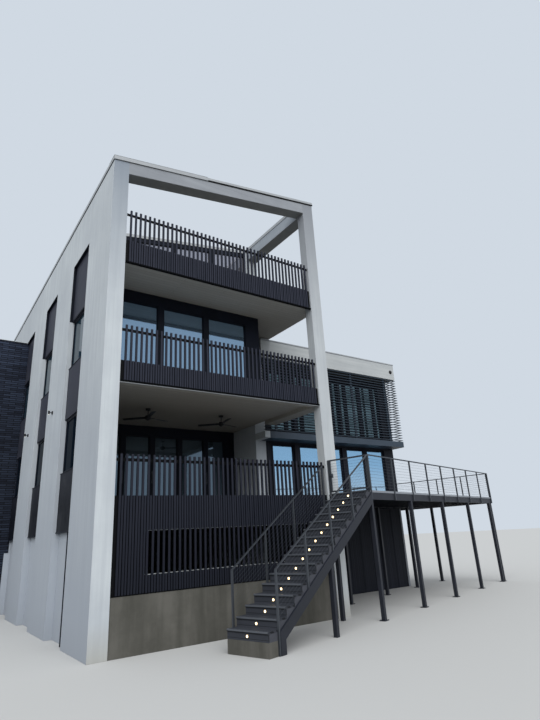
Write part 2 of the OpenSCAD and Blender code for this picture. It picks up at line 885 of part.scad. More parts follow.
// The door units of the wing, which end at the near pier, as starts and ends along X
function wing_door_span(c) = [max(c - wing_door_w / 2, wing_near), c + wing_door_w / 2];

// The upper windows of the wing
function wing_window_span(c) = [max(c - wing_window_w / 2, wing_near), c + wing_window_w / 2];

module wing_front_wall() {
  y = [wing_y0 - cut, wing_y0 + wing_t + cut];
  color(charcoal) difference() {
    block([block_w, wing_x1], [wing_y0, wing_y0 + wing_t], [floor_1, fascia_z0]);
    for (c = wing_bays) {
      block(wing_door_span(c), y, [floor_1 - cut, wing_door_head]);
      block(wing_window_span(c), y, [wing_sill, wing_head]);
    }
  }
}

module wing_rear_walls() {
  y = [wing_y1 - wing_t - cut, wing_y1 + cut];
  color(charcoal) difference() {
    union() {
      block([wing_x1 - wing_t, wing_x1], [wing_y0 + wing_t, wing_y1], [0, fascia_z0]);
      block([block_w, wing_x1], [wing_y1 - wing_t, wing_y1], [0, fascia_z0]);
    }
    for (c = wing_bays) {
      block(wing_window_span(c), y, [lower_sill, wing_door_head]);
      block(wing_window_span(c), y, [wing_sill, wing_head]);
    }
  }
}

// Two lights at one distance on either side of a unit's middle, as starts and ends along X
function light_pair(c, reach, w) = [[c - reach - w, c - reach], [c + reach, c + reach + w]];

// The lights of a door unit, beside its two meeting stiles
function door_lights(c) = light_pair(c, meeting_w / 2, (wing_door_w - meeting_w) / 2 - frame_w);

// The lights of a window: two wide ones in the middle and a narrow one at each side
function window_lights(c) = [
  each light_pair(c, wing_mullion_w / 2, wing_light_w),
  each light_pair(c, wing_mullion_w / 2 + wing_light_w + wing_bar_w, wing_side_light_w)];

// The lights as solids, as far as they lie clear of the near pier
module wing_lights(lights, z, y) {
  for (light = lights) {
    x0 = max(light[0], wing_near + frame_w);
    if (light[1] > x0 + frame_w) block([x0, light[1]], y, [z[0] + frame_w, z[1] - frame_w]);
  }
}

module wing_frame(span, lights, z, y0) {
  difference() {
    block(span, [y0, y0 + wing_frame_d], z);
    wing_lights(lights, z, [y0 - cut, y0 + wing_frame_d + cut]);
  }
}

module wing_pane(lights, z, y0) {
  y = y0 + (wing_frame_d - glass_t) / 2;
  wing_lights(lights, z, [y, y + glass_t]);
}

module wing_frames() {
  color(charcoal) for (c = wing_bays) {
    wing_frame(wing_door_span(c), door_lights(c), [floor_1, wing_door_head], front_frame_y);
    wing_frame(wing_window_span(c), window_lights(c), [wing_sill, wing_head], front_frame_y);
    wing_frame(wing_window_span(c), window_lights(c), [wing_sill, wing_head], rear_frame_y);
    wing_frame(wing_window_span(c), window_lights(c), [lower_sill, wing_door_head], rear_frame_y);
  }
}

module wing_glass() {
  color(glass) for (c = wing_bays) {
    wing_pane(door_lights(c), [floor_1, wing_door_head], front_frame_y);
    wing_pane(window_lights(c), [wing_sill, wing_head], front_frame_y);
    wing_pane(window_lights(c), [wing_sill, wing_head], rear_frame_y);
    wing_pane(window_lights(c), [lower_sill, wing_door_head], rear_frame_y);
  }
}

module wing_ground_wall() {
  color(charcoal) block([block_w, wing_x1], [wing_y0, wing_y0 + wing_t], [0, floor_1]);
}

module wing_floors() {
  color(soffit_grey) for (z = [floor_1, wing_floor_2])
    block([block_w, wing_x1 - wing_t], [wing_y0 + wing_t, wing_y1 - wing_t], [z - wing_slab_t, z]);
}

module wing_roof() {
  color(soffit_grey) block([block_w + fascia_t, wing_right - fascia_t],
                           [wing_front + fascia_t, wing_back - fascia_t], [fascia_z0, fascia_z0 + wing_slab_t]);
}

// The fascia's ring, whose front runs on to the floors of the main block
module wing_fascia() {
  color(white) {
    difference() {
      block([block_w, wing_right], [wing_front, wing_back], [fascia_z0, fascia_z1]);
      block([block_w + fascia_t, wing_right - fascia_t], [wing_front + fascia_t, wing_back - fascia_t],
            [fascia_z0 - cut, fascia_z1 + cut]);
    }
    block([right_x0, block_w], [wing_front, wing_front + fascia_t], [fascia_z0, fascia_z1]);
  }
}

module wing_coping() {
  lap = fascia_coping_lap;
  z1 = fascia_z1 + fascia_coping_h;
  color(steel) {
    difference() {
      block([block_w, wing_right + lap], [wing_front - lap, wing_back + lap], [fascia_z1, z1]);
      block([block_w + fascia_t + lap, wing_right - fascia_t - lap],
            [wing_front + fascia_t + lap, wing_back - fascia_t - lap], [fascia_z1 - cut, z1 + cut]);
    }
    block([right_x0, block_w], [wing_front - lap, wing_front + fascia_t + lap], [fascia_z1, z1]);
  }
}

module wing_ledge() {
  color(charcoal) block([right_x0, wing_right], [wing_front, wing_y0], [ledge_z0, ledge_z1]);
}

// A stack of blades over a range along X and Y
module blades(x, y) {
  for (i = [0 : louvre_count - 1]) {
    z = ledge_z1 + (i + 0.5) * louvre_pitch;
    block(x, y, [z - louvre_t / 2, z + louvre_t / 2]);
  }
}

module wing_louvres() {
  back = wing_front + louvre_d;
  last = wing_right - louvre_post_end;
  color(charcoal) {
    blades([right_x0, wing_right], [wing_front, back]);
    for (i = [0 : floor((last - block_w) / louvre_post_pitch)])
      block([last - i * louvre_post_pitch - louvre_post_w, last - i * louvre_post_pitch],
            [back, back + louvre_post_d], [ledge_z1, fascia_z0]);
  }
}

module wing_louvre_end() {
  x0 = wing_right - louvre_d;
  color(charcoal) {
    blades([x0, wing_right], [wing_front + louvre_d, wing_y0]);
    block([x0 - louvre_post_d, x0], [wing_y0 - louvre_post_w, wing_y0], [ledge_z1, fascia_z0]);
  }
}

// The deck's outline, cut back to the walls that it meets
module deck_shape() {
  difference() {
    translate([deck_x, deck_y]) rotate(deck_turn) square([deck_l, deck_end_d]);
    translate([block_w - far, 0]) square(far);
    translate([wing_x1 - far, wing_y0]) square(far);
  }
}

module deck_boards() {
  color(deck_grey) translate([0, 0, floor_1 - board_t]) linear_extrude(board_t) deck_shape();
}

// The deck's beams in plan: one along each edge, and joists between them
module deck_beams() {
  translate([deck_x, deck_y]) rotate(deck_turn) {
    square([deck_l, deck_beam_t]);
    square([deck_beam_t, deck_end_d]);
    translate([0, deck_end_d - deck_beam_t]) square([deck_l, deck_beam_t]);
    translate([deck_l - deck_beam_t, 0]) square([deck_beam_t, deck_end_d]);
    translate([0, middle_row_y]) square([deck_l, deck_beam_t]);
    for (x = [joist_pitch : joist_pitch : deck_l - joist_pitch / 2])
      translate([x, 0]) square([deck_beam_t, deck_end_d]);
  }
  translate([block_w, wing_y0 - deck_beam_t]) square([wing_x1 + deck_beam_t - block_w, deck_beam_t]);
  translate([wing_x1, wing_y0 - deck_beam_t]) square([deck_beam_t, deck_end_d]);
}

module deck_frame() {
  color(charcoal) translate([0, 0, deck_under]) linear_extrude(deck_beam_h) intersection() {
    deck_shape();
    deck_beams();
  }
}

// A post from the ground to a level height, in the deck's frame
module deck_post(x, y) {
  translate([x, y, 0]) cube([deck_post_w, deck_post_w, deck_under]);
}

// A post from the ground to the stringer over it
module stair_prop(x, y) {
  run_back(y, y + deck_post_w) polygon([
    [x, 0], [x + deck_post_w, 0], [x + deck_post_w, stringer_z(x + deck_post_w)], [x, stringer_z(x)]]);
}

module deck_posts() {
  color(charcoal) deck_place() {
    for (i = [0 : deck_bays]) deck_post(i * deck_post_pitch, 0);
    deck_post(deck_end_x, 0);
    for (i = [1 : deck_bays]) deck_post(i * deck_post_pitch, middle_row_y);
    deck_post(deck_end_x, deck_end_d - deck_post_w);
    deck_post(back_rail_x + deck_post_w, deck_end_d - deck_post_w);
    stair_prop(-stair_prop_reach, -stringer_t);
    stair_prop(riser_x(riser_count) - deck_post_w, stair_w - deck_post_w);
  }
}

// A straight guard along +X of its own frame: posts that pass the deck's edge, top rail and cables
module guard(length, post_xs) {
  foot = board_t + deck_beam_h;
  translate([0, 0, guard_h - top_rail_t]) cube([length, guard_post_w, top_rail_t]);
  for (x = post_xs) translate([x, 0, -foot]) cube([guard_post_w, guard_post_w, foot + guard_h - top_rail_t]);
  for (i = [1 : cable_count])
    translate([guard_post_w / 2, guard_post_w / 2, i * cable_pitch])
      rotate([0, 90, 0]) cylinder(d = cable_d, h = length - guard_post_w, $fn = 6);
}

// Post positions of an evenly spaced guard
function even_posts(length, bays) = [for (i = [0 : bays]) i * (length - guard_post_w) / bays];

// The fixed half of a hinge: a pin between two plates that reach out from the post
module hinge_pin() {
  for (z = [-hinge_play - plate_t, knuckle_h + hinge_play]) translate([0, 0, z]) {
    cylinder(r = hinge_pin_r + plate_rim, h = plate_t);
    translate([-gate_gap - plate_lap, -hinge_y - hinge_pin_r, 0])
      cube([gate_gap + plate_lap, hinge_y + hinge_pin_r + plate_lap, plate_t]);
  }
  translate([0, 0, -plate_t]) cylinder(r = hinge_pin_r, h = knuckle_h + 2 * plate_t);
}

module each_hinge() {
  for (z = [lower_hinge_z, upper_hinge_z]) translate([hinge_x, hinge_y, floor_1 + z]) children();
}

module deck_rail_front() {
  length = deck_l + guard_post_w;
  pitch = (length - guard_post_w - first_bay) / (front_bays - 1);
  color(steel) deck_place() {
    translate([0, -guard_post_w, floor_1])
      guard(length, [0, for (i = [0 : front_bays - 1]) first_bay + i * pitch]);
    each_hinge() hinge_pin();
  }
}

module deck_rail_end() {
  length = deck_end_d + guard_post_w;
  color(steel) deck_place() translate([deck_l + guard_post_w, 0, floor_1]) rotate([0, 0, 90])
    guard(length, even_posts(length, end_bays));
}

module deck_rail_back() {
  length = deck_l - back_rail_x;
  color(steel) deck_place() translate([back_rail_x, deck_end_d, floor_1]) guard(length, even_posts(length, 2));
}

module gate_post() {
  color(steel) deck_place() translate([0, latch_y, floor_1]) cube([guard_post_w, guard_post_w, guard_h]);
}

module stair_treads() {
  color(deck_grey) deck_place() for (k = [1 : riser_count]) {
    x1 = k == riser_count ? 0 : riser_x(k + 1);
    block([riser_x(k) - nosing, x1], [0, stair_w], [tread_z(k) - tread_t, tread_z(k)]);
  }
}

module stair_risers() {
  color(deck_grey) deck_place() for (k = [1 : riser_count])
    block([riser_x(k), riser_x(k) + riser_t], [0, stair_w],
          [k == 1 ? footing_h : tread_z(k - 1) - tread_t, tread_z(k) - tread_t]);
}

// A stringer with teeth that carry the treads, in X and Z of the deck's frame
module stringer_outline() {
  polygon([
    [riser_x(1) + riser_t, footing_h],
    for (k = [1 : riser_count - 1])
      each [[riser_x(k) + riser_t, tread_z(k) - tread_t], [riser_x(k + 1) + riser_t, tread_z(k) - tread_t]],
    [riser_x(riser_count) + riser_t, floor_1 - tread_t],
    [0, floor_1 - tread_t],
    [0, stringer_z(0)],
    [heel_x, footing_h]]);
}

module stair_stringers() {
  color(deck_grey) deck_place() {
    run_back(0, stringer_t) stringer_outline();
    run_back(stair_w - stringer_t, stair_w) stringer_outline();
  }
}

// The band along the outside of a stringer
module band_outline() {
  foot_x = band_x0 + band_foot;
  polygon([
    [band_x0, 0],
    [band_x0, nosing_z(band_x0) - band_drop],
    [0, nosing_z(0) - band_drop],
    [0, stringer_z(0)],
    [foot_x, stringer_z(foot_x)],
    [foot_x, 0]]);
}

module stair_bands() {
  color(charcoal) deck_place() {
    run_back(-stringer_t, 0) band_outline();
    run_back(stair_w, stair_w + stringer_t) band_outline();
  }
}

// A handrail and its cables along the stair, from the heights of the rail's top at both ends
module stair_rail(x0, x1, z0, z1) {
  length = x1 - x0 - guard_post_w;
  angle = atan((z1 - z0) / (x1 - x0));
  run_back(0, guard_post_w) polygon([[x0, z0 - top_rail_t], [x1, z1 - top_rail_t], [x1, z1], [x0, z0]]);
  for (i = [1 : cable_count])
    translate([x0 + guard_post_w / 2, guard_post_w / 2, z0 - top_rail_t - i * cable_pitch])
      rotate([0, 90 - angle, 0]) cylinder(d = cable_d, h = length / cos(angle), $fn = 6);
}

// A stair post, between the heights of its foot and its head at its two sides
module stair_post(x, feet, heads) {
  x1 = x + guard_post_w;
  sunk = top_rail_t / 2;
  run_back(0, guard_post_w) polygon([[x, feet[0]], [x1, feet[1]], [x1, heads[1] - sunk], [x, heads[0] - sunk]]);
}

module stair_rail_right() {
  bay = right_post_reach / right_rail_bays;
  color(steel) deck_place() translate([0, -guard_post_w, 0]) {
    stair_rail(-right_post_reach, 0, rail_foot_z, right_rail_z(0));
    for (i = [0 : right_rail_bays - 1]) {
      x = i * bay - right_post_reach;
      xs = [x, x + guard_post_w];
      stair_post(x, i == 0 ? [0, 0] : [for (p = xs) nosing_z(p) - band_drop], [for (p = xs) right_rail_z(p)]);
    }
  }
}

// Front of a left-hand post that stands on a tread
function left_post_x(k) = riser_x(k) + tread_run / 2;

module stair_rail_left() {
  x0 = left_post_x(left_post_treads[0]);
  x1 = left_post_x(left_post_treads[3]) + guard_post_w;
  color(steel) deck_place() translate([0, stair_w - guard_post_w, 0]) {
    stair_rail(x0, x1, left_rail_z(x0), left_rail_z(x1));
    for (k = left_post_treads) {
      x = left_post_x(k);
      stair_post(x, [tread_z(k), tread_z(k)], [for (p = [x, x + guard_post_w]) left_rail_z(p)]);
    }
  }
}

// The gate between the stair and the deck, with its two knuckles
module stair_gate() {
  h = guard_h - gate_lift;
  bar = guard_post_w;
  ring_r = hinge_pin_r + knuckle_wall;
  color(steel) deck_place() difference() {
    union() {
      translate([0, gate_gap, floor_1 + gate_lift]) {
        difference() {
          cube([bar, gate_l, h]);
          translate([-cut, bar, bar]) cube([bar + 2 * cut, gate_l - 2 * bar, h - 2 * bar]);
        }
        for (i = [1 : cable_count])
          translate([bar / 2, bar / 2, bar + i * (h - 2 * bar) / (cable_count + 1)])
            rotate([-90, 0, 0]) cylinder(d = cable_d, h = gate_l - bar, $fn = 6);
      }
      each_hinge() {
        cylinder(r = ring_r, h = knuckle_h);
        translate([-gate_gap - knuckle_lap, hinge_y, 0])
          cube([gate_gap + knuckle_lap, ring_r - hinge_y, knuckle_h]);
      }
    }
    each_hinge() translate([0, 0, -cut]) cylinder(r = hinge_pin_r + hinge_fit, h = knuckle_h + 2 * cut);
  }
}

module each_fan_place(side) {
  translate([fin_w + inner_w / 2 + side * fan_spacing / 2, fan_y, under_2]) children();
}

module fan_mounts() {
  color(charcoal) for (side = [-1, 1]) each_fan_place(side) {
    translate([0, 0, -canopy_h]) cylinder(r = canopy_r, h = canopy_h);
    translate([0, 0, rod_foot]) cylinder(r = rod_r, h = -canopy_h - rod_foot);
  }
}

module fan_rotor() {
  color(charcoal) translate([0, 0, -fan_drop]) difference() {
    union() {
      translate([0, 0, -hub_h / 2]) cylinder(r = hub_r, h = hub_h);
      for (i = [0 : blade_count - 1]) rotate([0, 0, blade_turn + i * 360 / blade_count])
        translate([hub_r / 2, 0, 0]) rotate([blade_tilt, 0, 0])
          translate([0, -blade_w / 2, -blade_t / 2]) cube([fan_r - hub_r / 2, blade_w, blade_t]);
    }
    translate([0, 0, hub_h / 2 - rod_seat - rod_play])
      cylinder(r = rod_r + hinge_fit, h = rod_seat + rod_play + cut);
  }
}

module fan_left() {
  each_fan_place(-1) fan_rotor();
}

module fan_right() {
  each_fan_place(1) fan_rotor();
}

// The up-and-down lights of the left wall, and the dome light of the wing's fascia
module wall_lights() {
  color(charcoal) {
    for (i = [0, 1]) translate([0, light_y + i * light_pitch, light_z]) {
      rotate([0, -90, 0]) cylinder(r = light_r, h = light_r / 2);
      translate([-2 * light_r, 0, -light_r]) cylinder(r = light_r / 2, h = 2 * light_r);
      rotate([0, -90, 0]) cylinder(r = light_r / 4, h = 2 * light_r);
    }
    translate([wing_right - dome_in, wing_front, fascia_z0 + dome_rise]) rotate([90, 0, 0])
      rotate_extrude() intersection() {
        circle(dome_r);
        square(dome_r);
      }
  }
}

place() left_wall();
place() strip_panels();
place() side_window_frames();
place() side_window_glass();
place() portal_beam();
place() return_beam();
place() right_post();
place() right_wall();
place() back_wall();
place() roof_slab();
place() roof_coping();
place() third_floor_windows();
place() balcony_windows();
place() terrace_windows();
place() front_glass();
place() third_floor();
place() second_floor();
place() first_floor();
place() roof_screen();
place() balcony_screen();
place() lower_screen();
place() plinth();
place() ground_side_wall();
place() balcony_side_wall();
place() brick_tower();
place() tower_coping();
place() wing_front_wall();
place() wing_rear_walls();
place() wing_frames();
place() wing_glass();
place() wing_ground_wall();
place() wing_floors();
place() wing_roof();
place() wing_fascia();
place() wing_coping();
place() wing_ledge();
place() wing_louvres();
place() wing_louvre_end();
place() deck_boards();
place() deck_frame();
place() deck_posts();
place() deck_rail_front();
place() deck_rail_end();
place() deck_rail_back();
place() gate_post();
place() stair_treads();
place() stair_risers();
place() stair_stringers();
place() stair_bands();
place() stair_rail_right();
place() stair_rail_left();
place() stair_gate();
place() fan_mounts();
place() fan_left();
place() fan_right();
place() wall_lights();
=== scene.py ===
"""Beach house: finishes, fittings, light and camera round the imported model.

Lengths are in metres. HOUSE is the block's left front corner at its foot. Places on the house are
given from it as spans along the front, back from it and up. The deck and the stair have a frame
of their own, turned away from the front, with its origin at the deck's left front corner.
"""
import json
import math

import bmesh
import bpy
from mathutils import Matrix, Vector

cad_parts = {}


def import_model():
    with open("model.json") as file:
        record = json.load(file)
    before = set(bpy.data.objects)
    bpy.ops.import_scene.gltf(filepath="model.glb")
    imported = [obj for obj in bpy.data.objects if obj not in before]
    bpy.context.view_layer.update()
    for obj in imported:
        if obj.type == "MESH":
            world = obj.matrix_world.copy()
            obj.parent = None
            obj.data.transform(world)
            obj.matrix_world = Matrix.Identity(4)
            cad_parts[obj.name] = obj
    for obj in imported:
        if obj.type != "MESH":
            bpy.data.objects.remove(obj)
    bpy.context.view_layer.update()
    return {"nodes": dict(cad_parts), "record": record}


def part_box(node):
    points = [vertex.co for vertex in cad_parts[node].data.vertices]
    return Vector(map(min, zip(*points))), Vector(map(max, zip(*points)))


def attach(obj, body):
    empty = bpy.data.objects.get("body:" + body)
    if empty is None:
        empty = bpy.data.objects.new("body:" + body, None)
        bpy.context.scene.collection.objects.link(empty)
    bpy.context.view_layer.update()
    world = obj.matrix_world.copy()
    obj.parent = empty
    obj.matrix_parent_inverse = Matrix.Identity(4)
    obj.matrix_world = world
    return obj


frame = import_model()

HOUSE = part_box("left_wall")[0]

# Camera: the photograph's viewpoint, solved from the walls' straight edges
HEADING = math.radians(35.7235)
PITCH = math.radians(19.2148)
ROLL = math.radians(-3.3148)
CAMERA_PLACE = HOUSE + Vector((-3.32, -11.286, 2.147))
FOCAL_PX = 505.71
IMAGE_LONG_SIDE_PX = 720
SENSOR = 36.0
CLIP_END = 500.0

# Main block
FIN_W = 0.41
POST_X = 6.56
BLOCK_W = 6.99
BLOCK_D = 15.2
PORTAL_D = 0.31
BEAM_D = 0.39
BEAM_H = 0.47
RETURN_BEAM_H = 0.5
TERRACE_D = 3.6
EAVE_Z = 12.14
ROOF_SLOPE = math.radians(8.8)
HIGH_EAVE_Z = EAVE_Z + POST_X * math.tan(ROOF_SLOPE)
ROOF_DROP = 0.18
COPING_T = 0.02
COPING_FOOT = 0.09
COPING_JOINT_X = 2.84
FLOOR_1 = 3.18
FLOOR_2 = 6.35
FLOOR_3 = 9.67
CEILING_1 = 5.95
CEILING_2 = 9.115

# Slatted screens
SCREEN_Y = 0.015
BACKING_Y = 0.075
PLINTH_H = 1.152
FOOT_RAIL_ZS = (5.83, 9.03)
VENT_X = (1.15, 6.5)
VENT_Z = (1.51, 2.434)

# Strips of windows and panels in the left wall
STRIP_YS = [(y, y + 1.65) for y in (2.02, 5.76, 9.5)]
STRIP_Z = (2.53, 10.53)
STRIP_WINDOWS = ((4.08, 5.6), (7.13, 8.65))
PANEL_X = 0.09
STRIP_FRAME_X = 0.14
STRIP_GLASS_X = 0.168
FRAME_W = 0.06

# Window walls of the block: panes along the front, their heights and the front of their glass
BALCONY_PANES = ((3.7, 5.05), (2.2, 3.52), (0.7, 2.02))
BALCONY_PANE_Z = (6.43, 8.765)
BALCONY_GLASS_Y = 1.713
TERRACE_PANES = ((5.456, 6.13), (4.433, 5.276), (3.41, 4.253), (2.387, 3.23), (1.364, 2.207),
                 (0.47, 1.184))
TERRACE_PANE_Z = (3.26, 5.6)
TERRACE_GLASS_Y = 5.163
BACK_WINDOWS = ((1.0475, 2.8475), (4.1225, 5.9225))
BACK_WINDOW_ZS = [(z, z + 1.5) for z in (4.03, 7.2, 10.52)]
BACK_GLASS_Y = 15.112

# Tower
TOWER_LEFT = -2.42
TOWER_FRONT_Y = 11.15
TOWER_TOP = 10.58

# Wing: its walls, and its windows and doors about the middle of each bay
WING_X = (6.99, 13.6)
WING_RIGHT = 13.64
WING_Y = (3.6, 10.8)
WING_FRONT = 2.98
WING_BACK = 10.84
WING_BAYS = (7.215, 9.6, 11.985)
WING_NEAR = 7.19
WING_DOOR_HALF = 1.075
WING_DOOR_PANE = (0.12, 1.015)
WING_DOOR_Z = (3.18, 5.33)
WING_WINDOW_HALF = 1.1325
WING_PANES = ((0.1075, 0.7225), (0.8925, 1.0725))
WING_UPPER_Z = (5.82, 8.08)
WING_LOWER_Z = (4.03, 5.33)
WING_FRONT_FRAME_Y = 3.66
WING_FRONT_GLASS_Y = 3.698
WING_REAR_FRAME_Y = 10.74
WING_REAR_GLASS_Y = 10.702
FASCIA_Z = (8.35, 9.03)

# Deck and stair, in the deck's frame; the first riser stands farthest from the deck
DECK_CORNER = Vector((6.95, -1.286, 0.0))
DECK_TURN = math.radians(15)
DECK_L = 9.85
DECK_D = 4.3
DECK_UNDER = 2.94
GUARD_POST = 0.04
CABLES = 10
CABLE_PITCH = 0.94 / (CABLES + 1)
FRONT_POSTS = (0.0, 2.4, 4.8, 7.2)
CORNER_POSTS = (9.6, 9.85)
MIDDLE_ROW_Y = 2.45
GATE_Y = (0.015, 1.25)
RISERS = 16
RISE = 0.182
RUN = 0.28
STAIR_FOOT = 0.268
STAIR_TOP_GAP = 0.263
STAIR_W = 1.09
NOSING = 0.02
STEP_ROWS = 5

# Ceiling fans, lamps and wall lights
FAN_XS = {"fan_left": 2.24, "fan_right": 4.73}
FAN_Y = 2.82
BLADE_Z = 5.68
BLADE_TURNS = (20, 140, 260)
BLADE_PITCH = math.radians(10)
CEILING_LAMPS = [(x, 0.92, CEILING_1) for x in (0.985, 2.25, 3.48, 4.725)] + [
    (x, 1.05, CEILING_2) for x in (1.0, 2.7, 4.45)]
WALL_LIGHT_YS = (4.92, 8.66)
WALL_LIGHT_Z = 6.1
WALL_LIGHT_R = 0.055
DOME = (13.42, 2.98, 8.69)

# Turns for what is made facing up
FACE_FRONT = Matrix.Rotation(math.radians(90), 4, "X")
FACE_BACK = Matrix.Rotation(math.radians(-90), 4, "X")
FACE_RIGHT = Matrix.Rotation(math.radians(90), 4, "Y")
FACE_LEFT = Matrix.Rotation(math.radians(-90), 4, "Y")
FACE_DOWN = Matrix.Rotation(math.pi, 4, "X")


def at(x, y, z):
    """The matrix that moves to a place."""
    return Matrix.Translation((x, y, z))


def place(matrix=None):
    """The matrix that takes the house's own places to the scene."""
    return Matrix.Translation(HOUSE) @ (matrix or Matrix.Identity(4))


def deck_place(matrix=None):
    """The matrix that takes the deck's turned frame to the scene."""
    turn = Matrix.Rotation(DECK_TURN, 4, "Z")
    return place(Matrix.Translation(DECK_CORNER) @ turn @ (matrix or Matrix.Identity(4)))


def roof_place(x):
    """The matrix that takes a frame lying on the wall tops' slope, from a place along the front."""
    corner = at(x, 0.0, EAVE_Z + x * math.tan(ROOF_SLOPE))
    return place(corner @ Matrix.Rotation(-ROOF_SLOPE, 4, "Y"))


def up_slope(x0, x1):
    """Length along the roof's slope between two places along the front."""
    return (x1 - x0) / math.cos(ROOF_SLOPE)


def riser_x(k):
    """Front of a riser, back from the deck's edge."""
    return -STAIR_TOP_GAP - (RISERS - k) * RUN


def tread_z(k):
    """Top of a tread."""
    return STAIR_FOOT + k * RISE


def camera():
    """The photograph's camera."""
    ahead = Vector((math.sin(HEADING) * math.cos(PITCH), math.cos(HEADING) * math.cos(PITCH),
                    math.sin(PITCH)))
    right = Vector((math.cos(HEADING), -math.sin(HEADING), 0.0))
    up = right.cross(ahead)
    across = right * math.cos(ROLL) + up * math.sin(ROLL)
    upward = up * math.cos(ROLL) - right * math.sin(ROLL)
    lens = bpy.data.cameras.new("camera")
    lens.sensor_width = SENSOR
    lens.lens = FOCAL_PX / IMAGE_LONG_SIDE_PX * SENSOR
    lens.clip_end = CLIP_END
    made = bpy.data.objects.new("camera", lens)
    bpy.context.scene.collection.objects.link(made)
    made.matrix_world = Matrix.Translation(CAMERA_PLACE) @ Matrix(
        (across, upward, -ahead)).transposed().to_4x4()
    bpy.context.scene.camera = made


camera()

# Finishes


def paint(code):
    """A colour written as sRGB hex, as the linear values that a shader takes."""
    values = [int(code[i:i + 2], 16) / 255 for i in (1, 3, 5)]
    return (*[v / 12.92 if v <= 0.04045 else ((v + 0.055) / 1.055) ** 2.4 for v in values], 1.0)


def add(tree, kind, settings=None, links=None):
    """Adds a node, gives its properties and sockets their settings, and links its sockets."""
    node = tree.nodes.new(kind)
    for name, value in (settings or {}).items():
        if isinstance(name, str) and hasattr(node, name):
            setattr(node, name, value)
        else:
            node.inputs[name].default_value = value
    for name, source in (links or {}).items():
        tree.links.new(source, node.inputs[name])
    return node


def begin(name):
    """A new material, with the object's own coordinates to draw its patterns by."""
    material = bpy.data.materials.new(name)
    material.use_nodes = True
    tree = material.node_tree
    tree.nodes.clear()
    return material, tree, add(tree, "ShaderNodeTexCoord").outputs["Object"]


def close(tree, settings, links=None, relief=None):
    """Ends a material with its shader. A relief is a height, its strength and its real depth."""
    links = dict(links or {})
    if relief:
        height, strength, depth = relief
        bump = add(tree, "ShaderNodeBump", {"Strength": strength, "Distance": depth},
                   {"Height": height})
        links["Normal"] = bump.outputs["Normal"]
    shader = add(tree, "ShaderNodeBsdfPrincipled", settings, links)
    add(tree, "ShaderNodeOutputMaterial", links={"Surface": shader.outputs["BSDF"]})


def house_coords(tree, coords):
    """Coordinates counted from the house's corner."""
    return add(tree, "ShaderNodeMapping", {"Location": tuple(-HOUSE)},
               {"Vector": coords}).outputs["Vector"]


def deck_coords(tree, coords):
    """Coordinates in the deck's turned frame."""
    back = Matrix.Rotation(-DECK_TURN, 3, "Z") @ (HOUSE + DECK_CORNER)
    return add(tree, "ShaderNodeMapping",
               {"Rotation": (0.0, 0.0, -DECK_TURN), "Location": tuple(-back)},
               {"Vector": coords}).outputs["Vector"]


def upright_coords(tree, coords):
    """Coordinates that run along a wall and up it, on walls that face along X or along Y."""
    parts = add(tree, "ShaderNodeSeparateXYZ", links={"Vector": coords})
    along = add(tree, "ShaderNodeMath", {"operation": "ADD"},
                {0: parts.outputs["X"], 1: parts.outputs["Y"]})
    return add(tree, "ShaderNodeCombineXYZ",
               links={"X": along.outputs["Value"], "Y": parts.outputs["Z"]}).outputs["Vector"]


def share_along(tree, coords, axis, low, high):
    """Nothing before one place on an axis, all past another, and a share between them."""
    parts = add(tree, "ShaderNodeSeparateXYZ", links={"Vector": coords})
    return add(tree, "ShaderNodeMapRange", {"From Min": low, "From Max": high},
               {"Value": parts.outputs[axis]}).outputs["Result"]


def near_side(tree, coords, axis, edge):
    """All on the near side of a place on an axis, and nothing past it."""
    parts = add(tree, "ShaderNodeSeparateXYZ", links={"Vector": coords})
    return add(tree, "ShaderNodeMath", {"operation": "LESS_THAN", 1: edge},
               {0: parts.outputs[axis]}).outputs["Value"]


def drawn_out(tree, coords, way, fine, slow, detail, roughness=0.5):
    """Marks drawn out along one axis: fine across it and slow along it, in marks to the metre."""
    scale = [slow if axis == way else fine for axis in "XYZ"]
    drawn = add(tree, "ShaderNodeMapping", {"Scale": scale}, {"Vector": coords})
    return add(tree, "ShaderNodeTexNoise",
               {"Scale": 1.0, "Detail": detail, "Roughness": roughness},
               {"Vector": drawn.outputs["Vector"]}).outputs["Fac"]


def rained_on(tree, coords, clouds, runs, clean_at):
    """How clean a face is: broad clouds, broken by the long runs of rain water."""
    cloud = add(tree, "ShaderNodeTexNoise", clouds, {"Vector": coords})
    both = add(tree, "ShaderNodeMath", {"operation": "MULTIPLY"},
               {0: cloud.outputs["Fac"], 1: runs})
    return add(tree, "ShaderNodeMapRange", {"From Min": 0.14, "From Max": clean_at},
               {"Value": both.outputs["Value"]}).outputs["Result"]


def orange_peel(tree, coords):
    """The relief of sprayed powder: bumps of 1 mm, drawn at 12 mm so that they show."""
    peel = add(tree, "ShaderNodeTexNoise", {"Scale": 85.0, "Detail": 2.0}, {"Vector": coords})
    return peel.outputs["Fac"], 0.12, 0.002


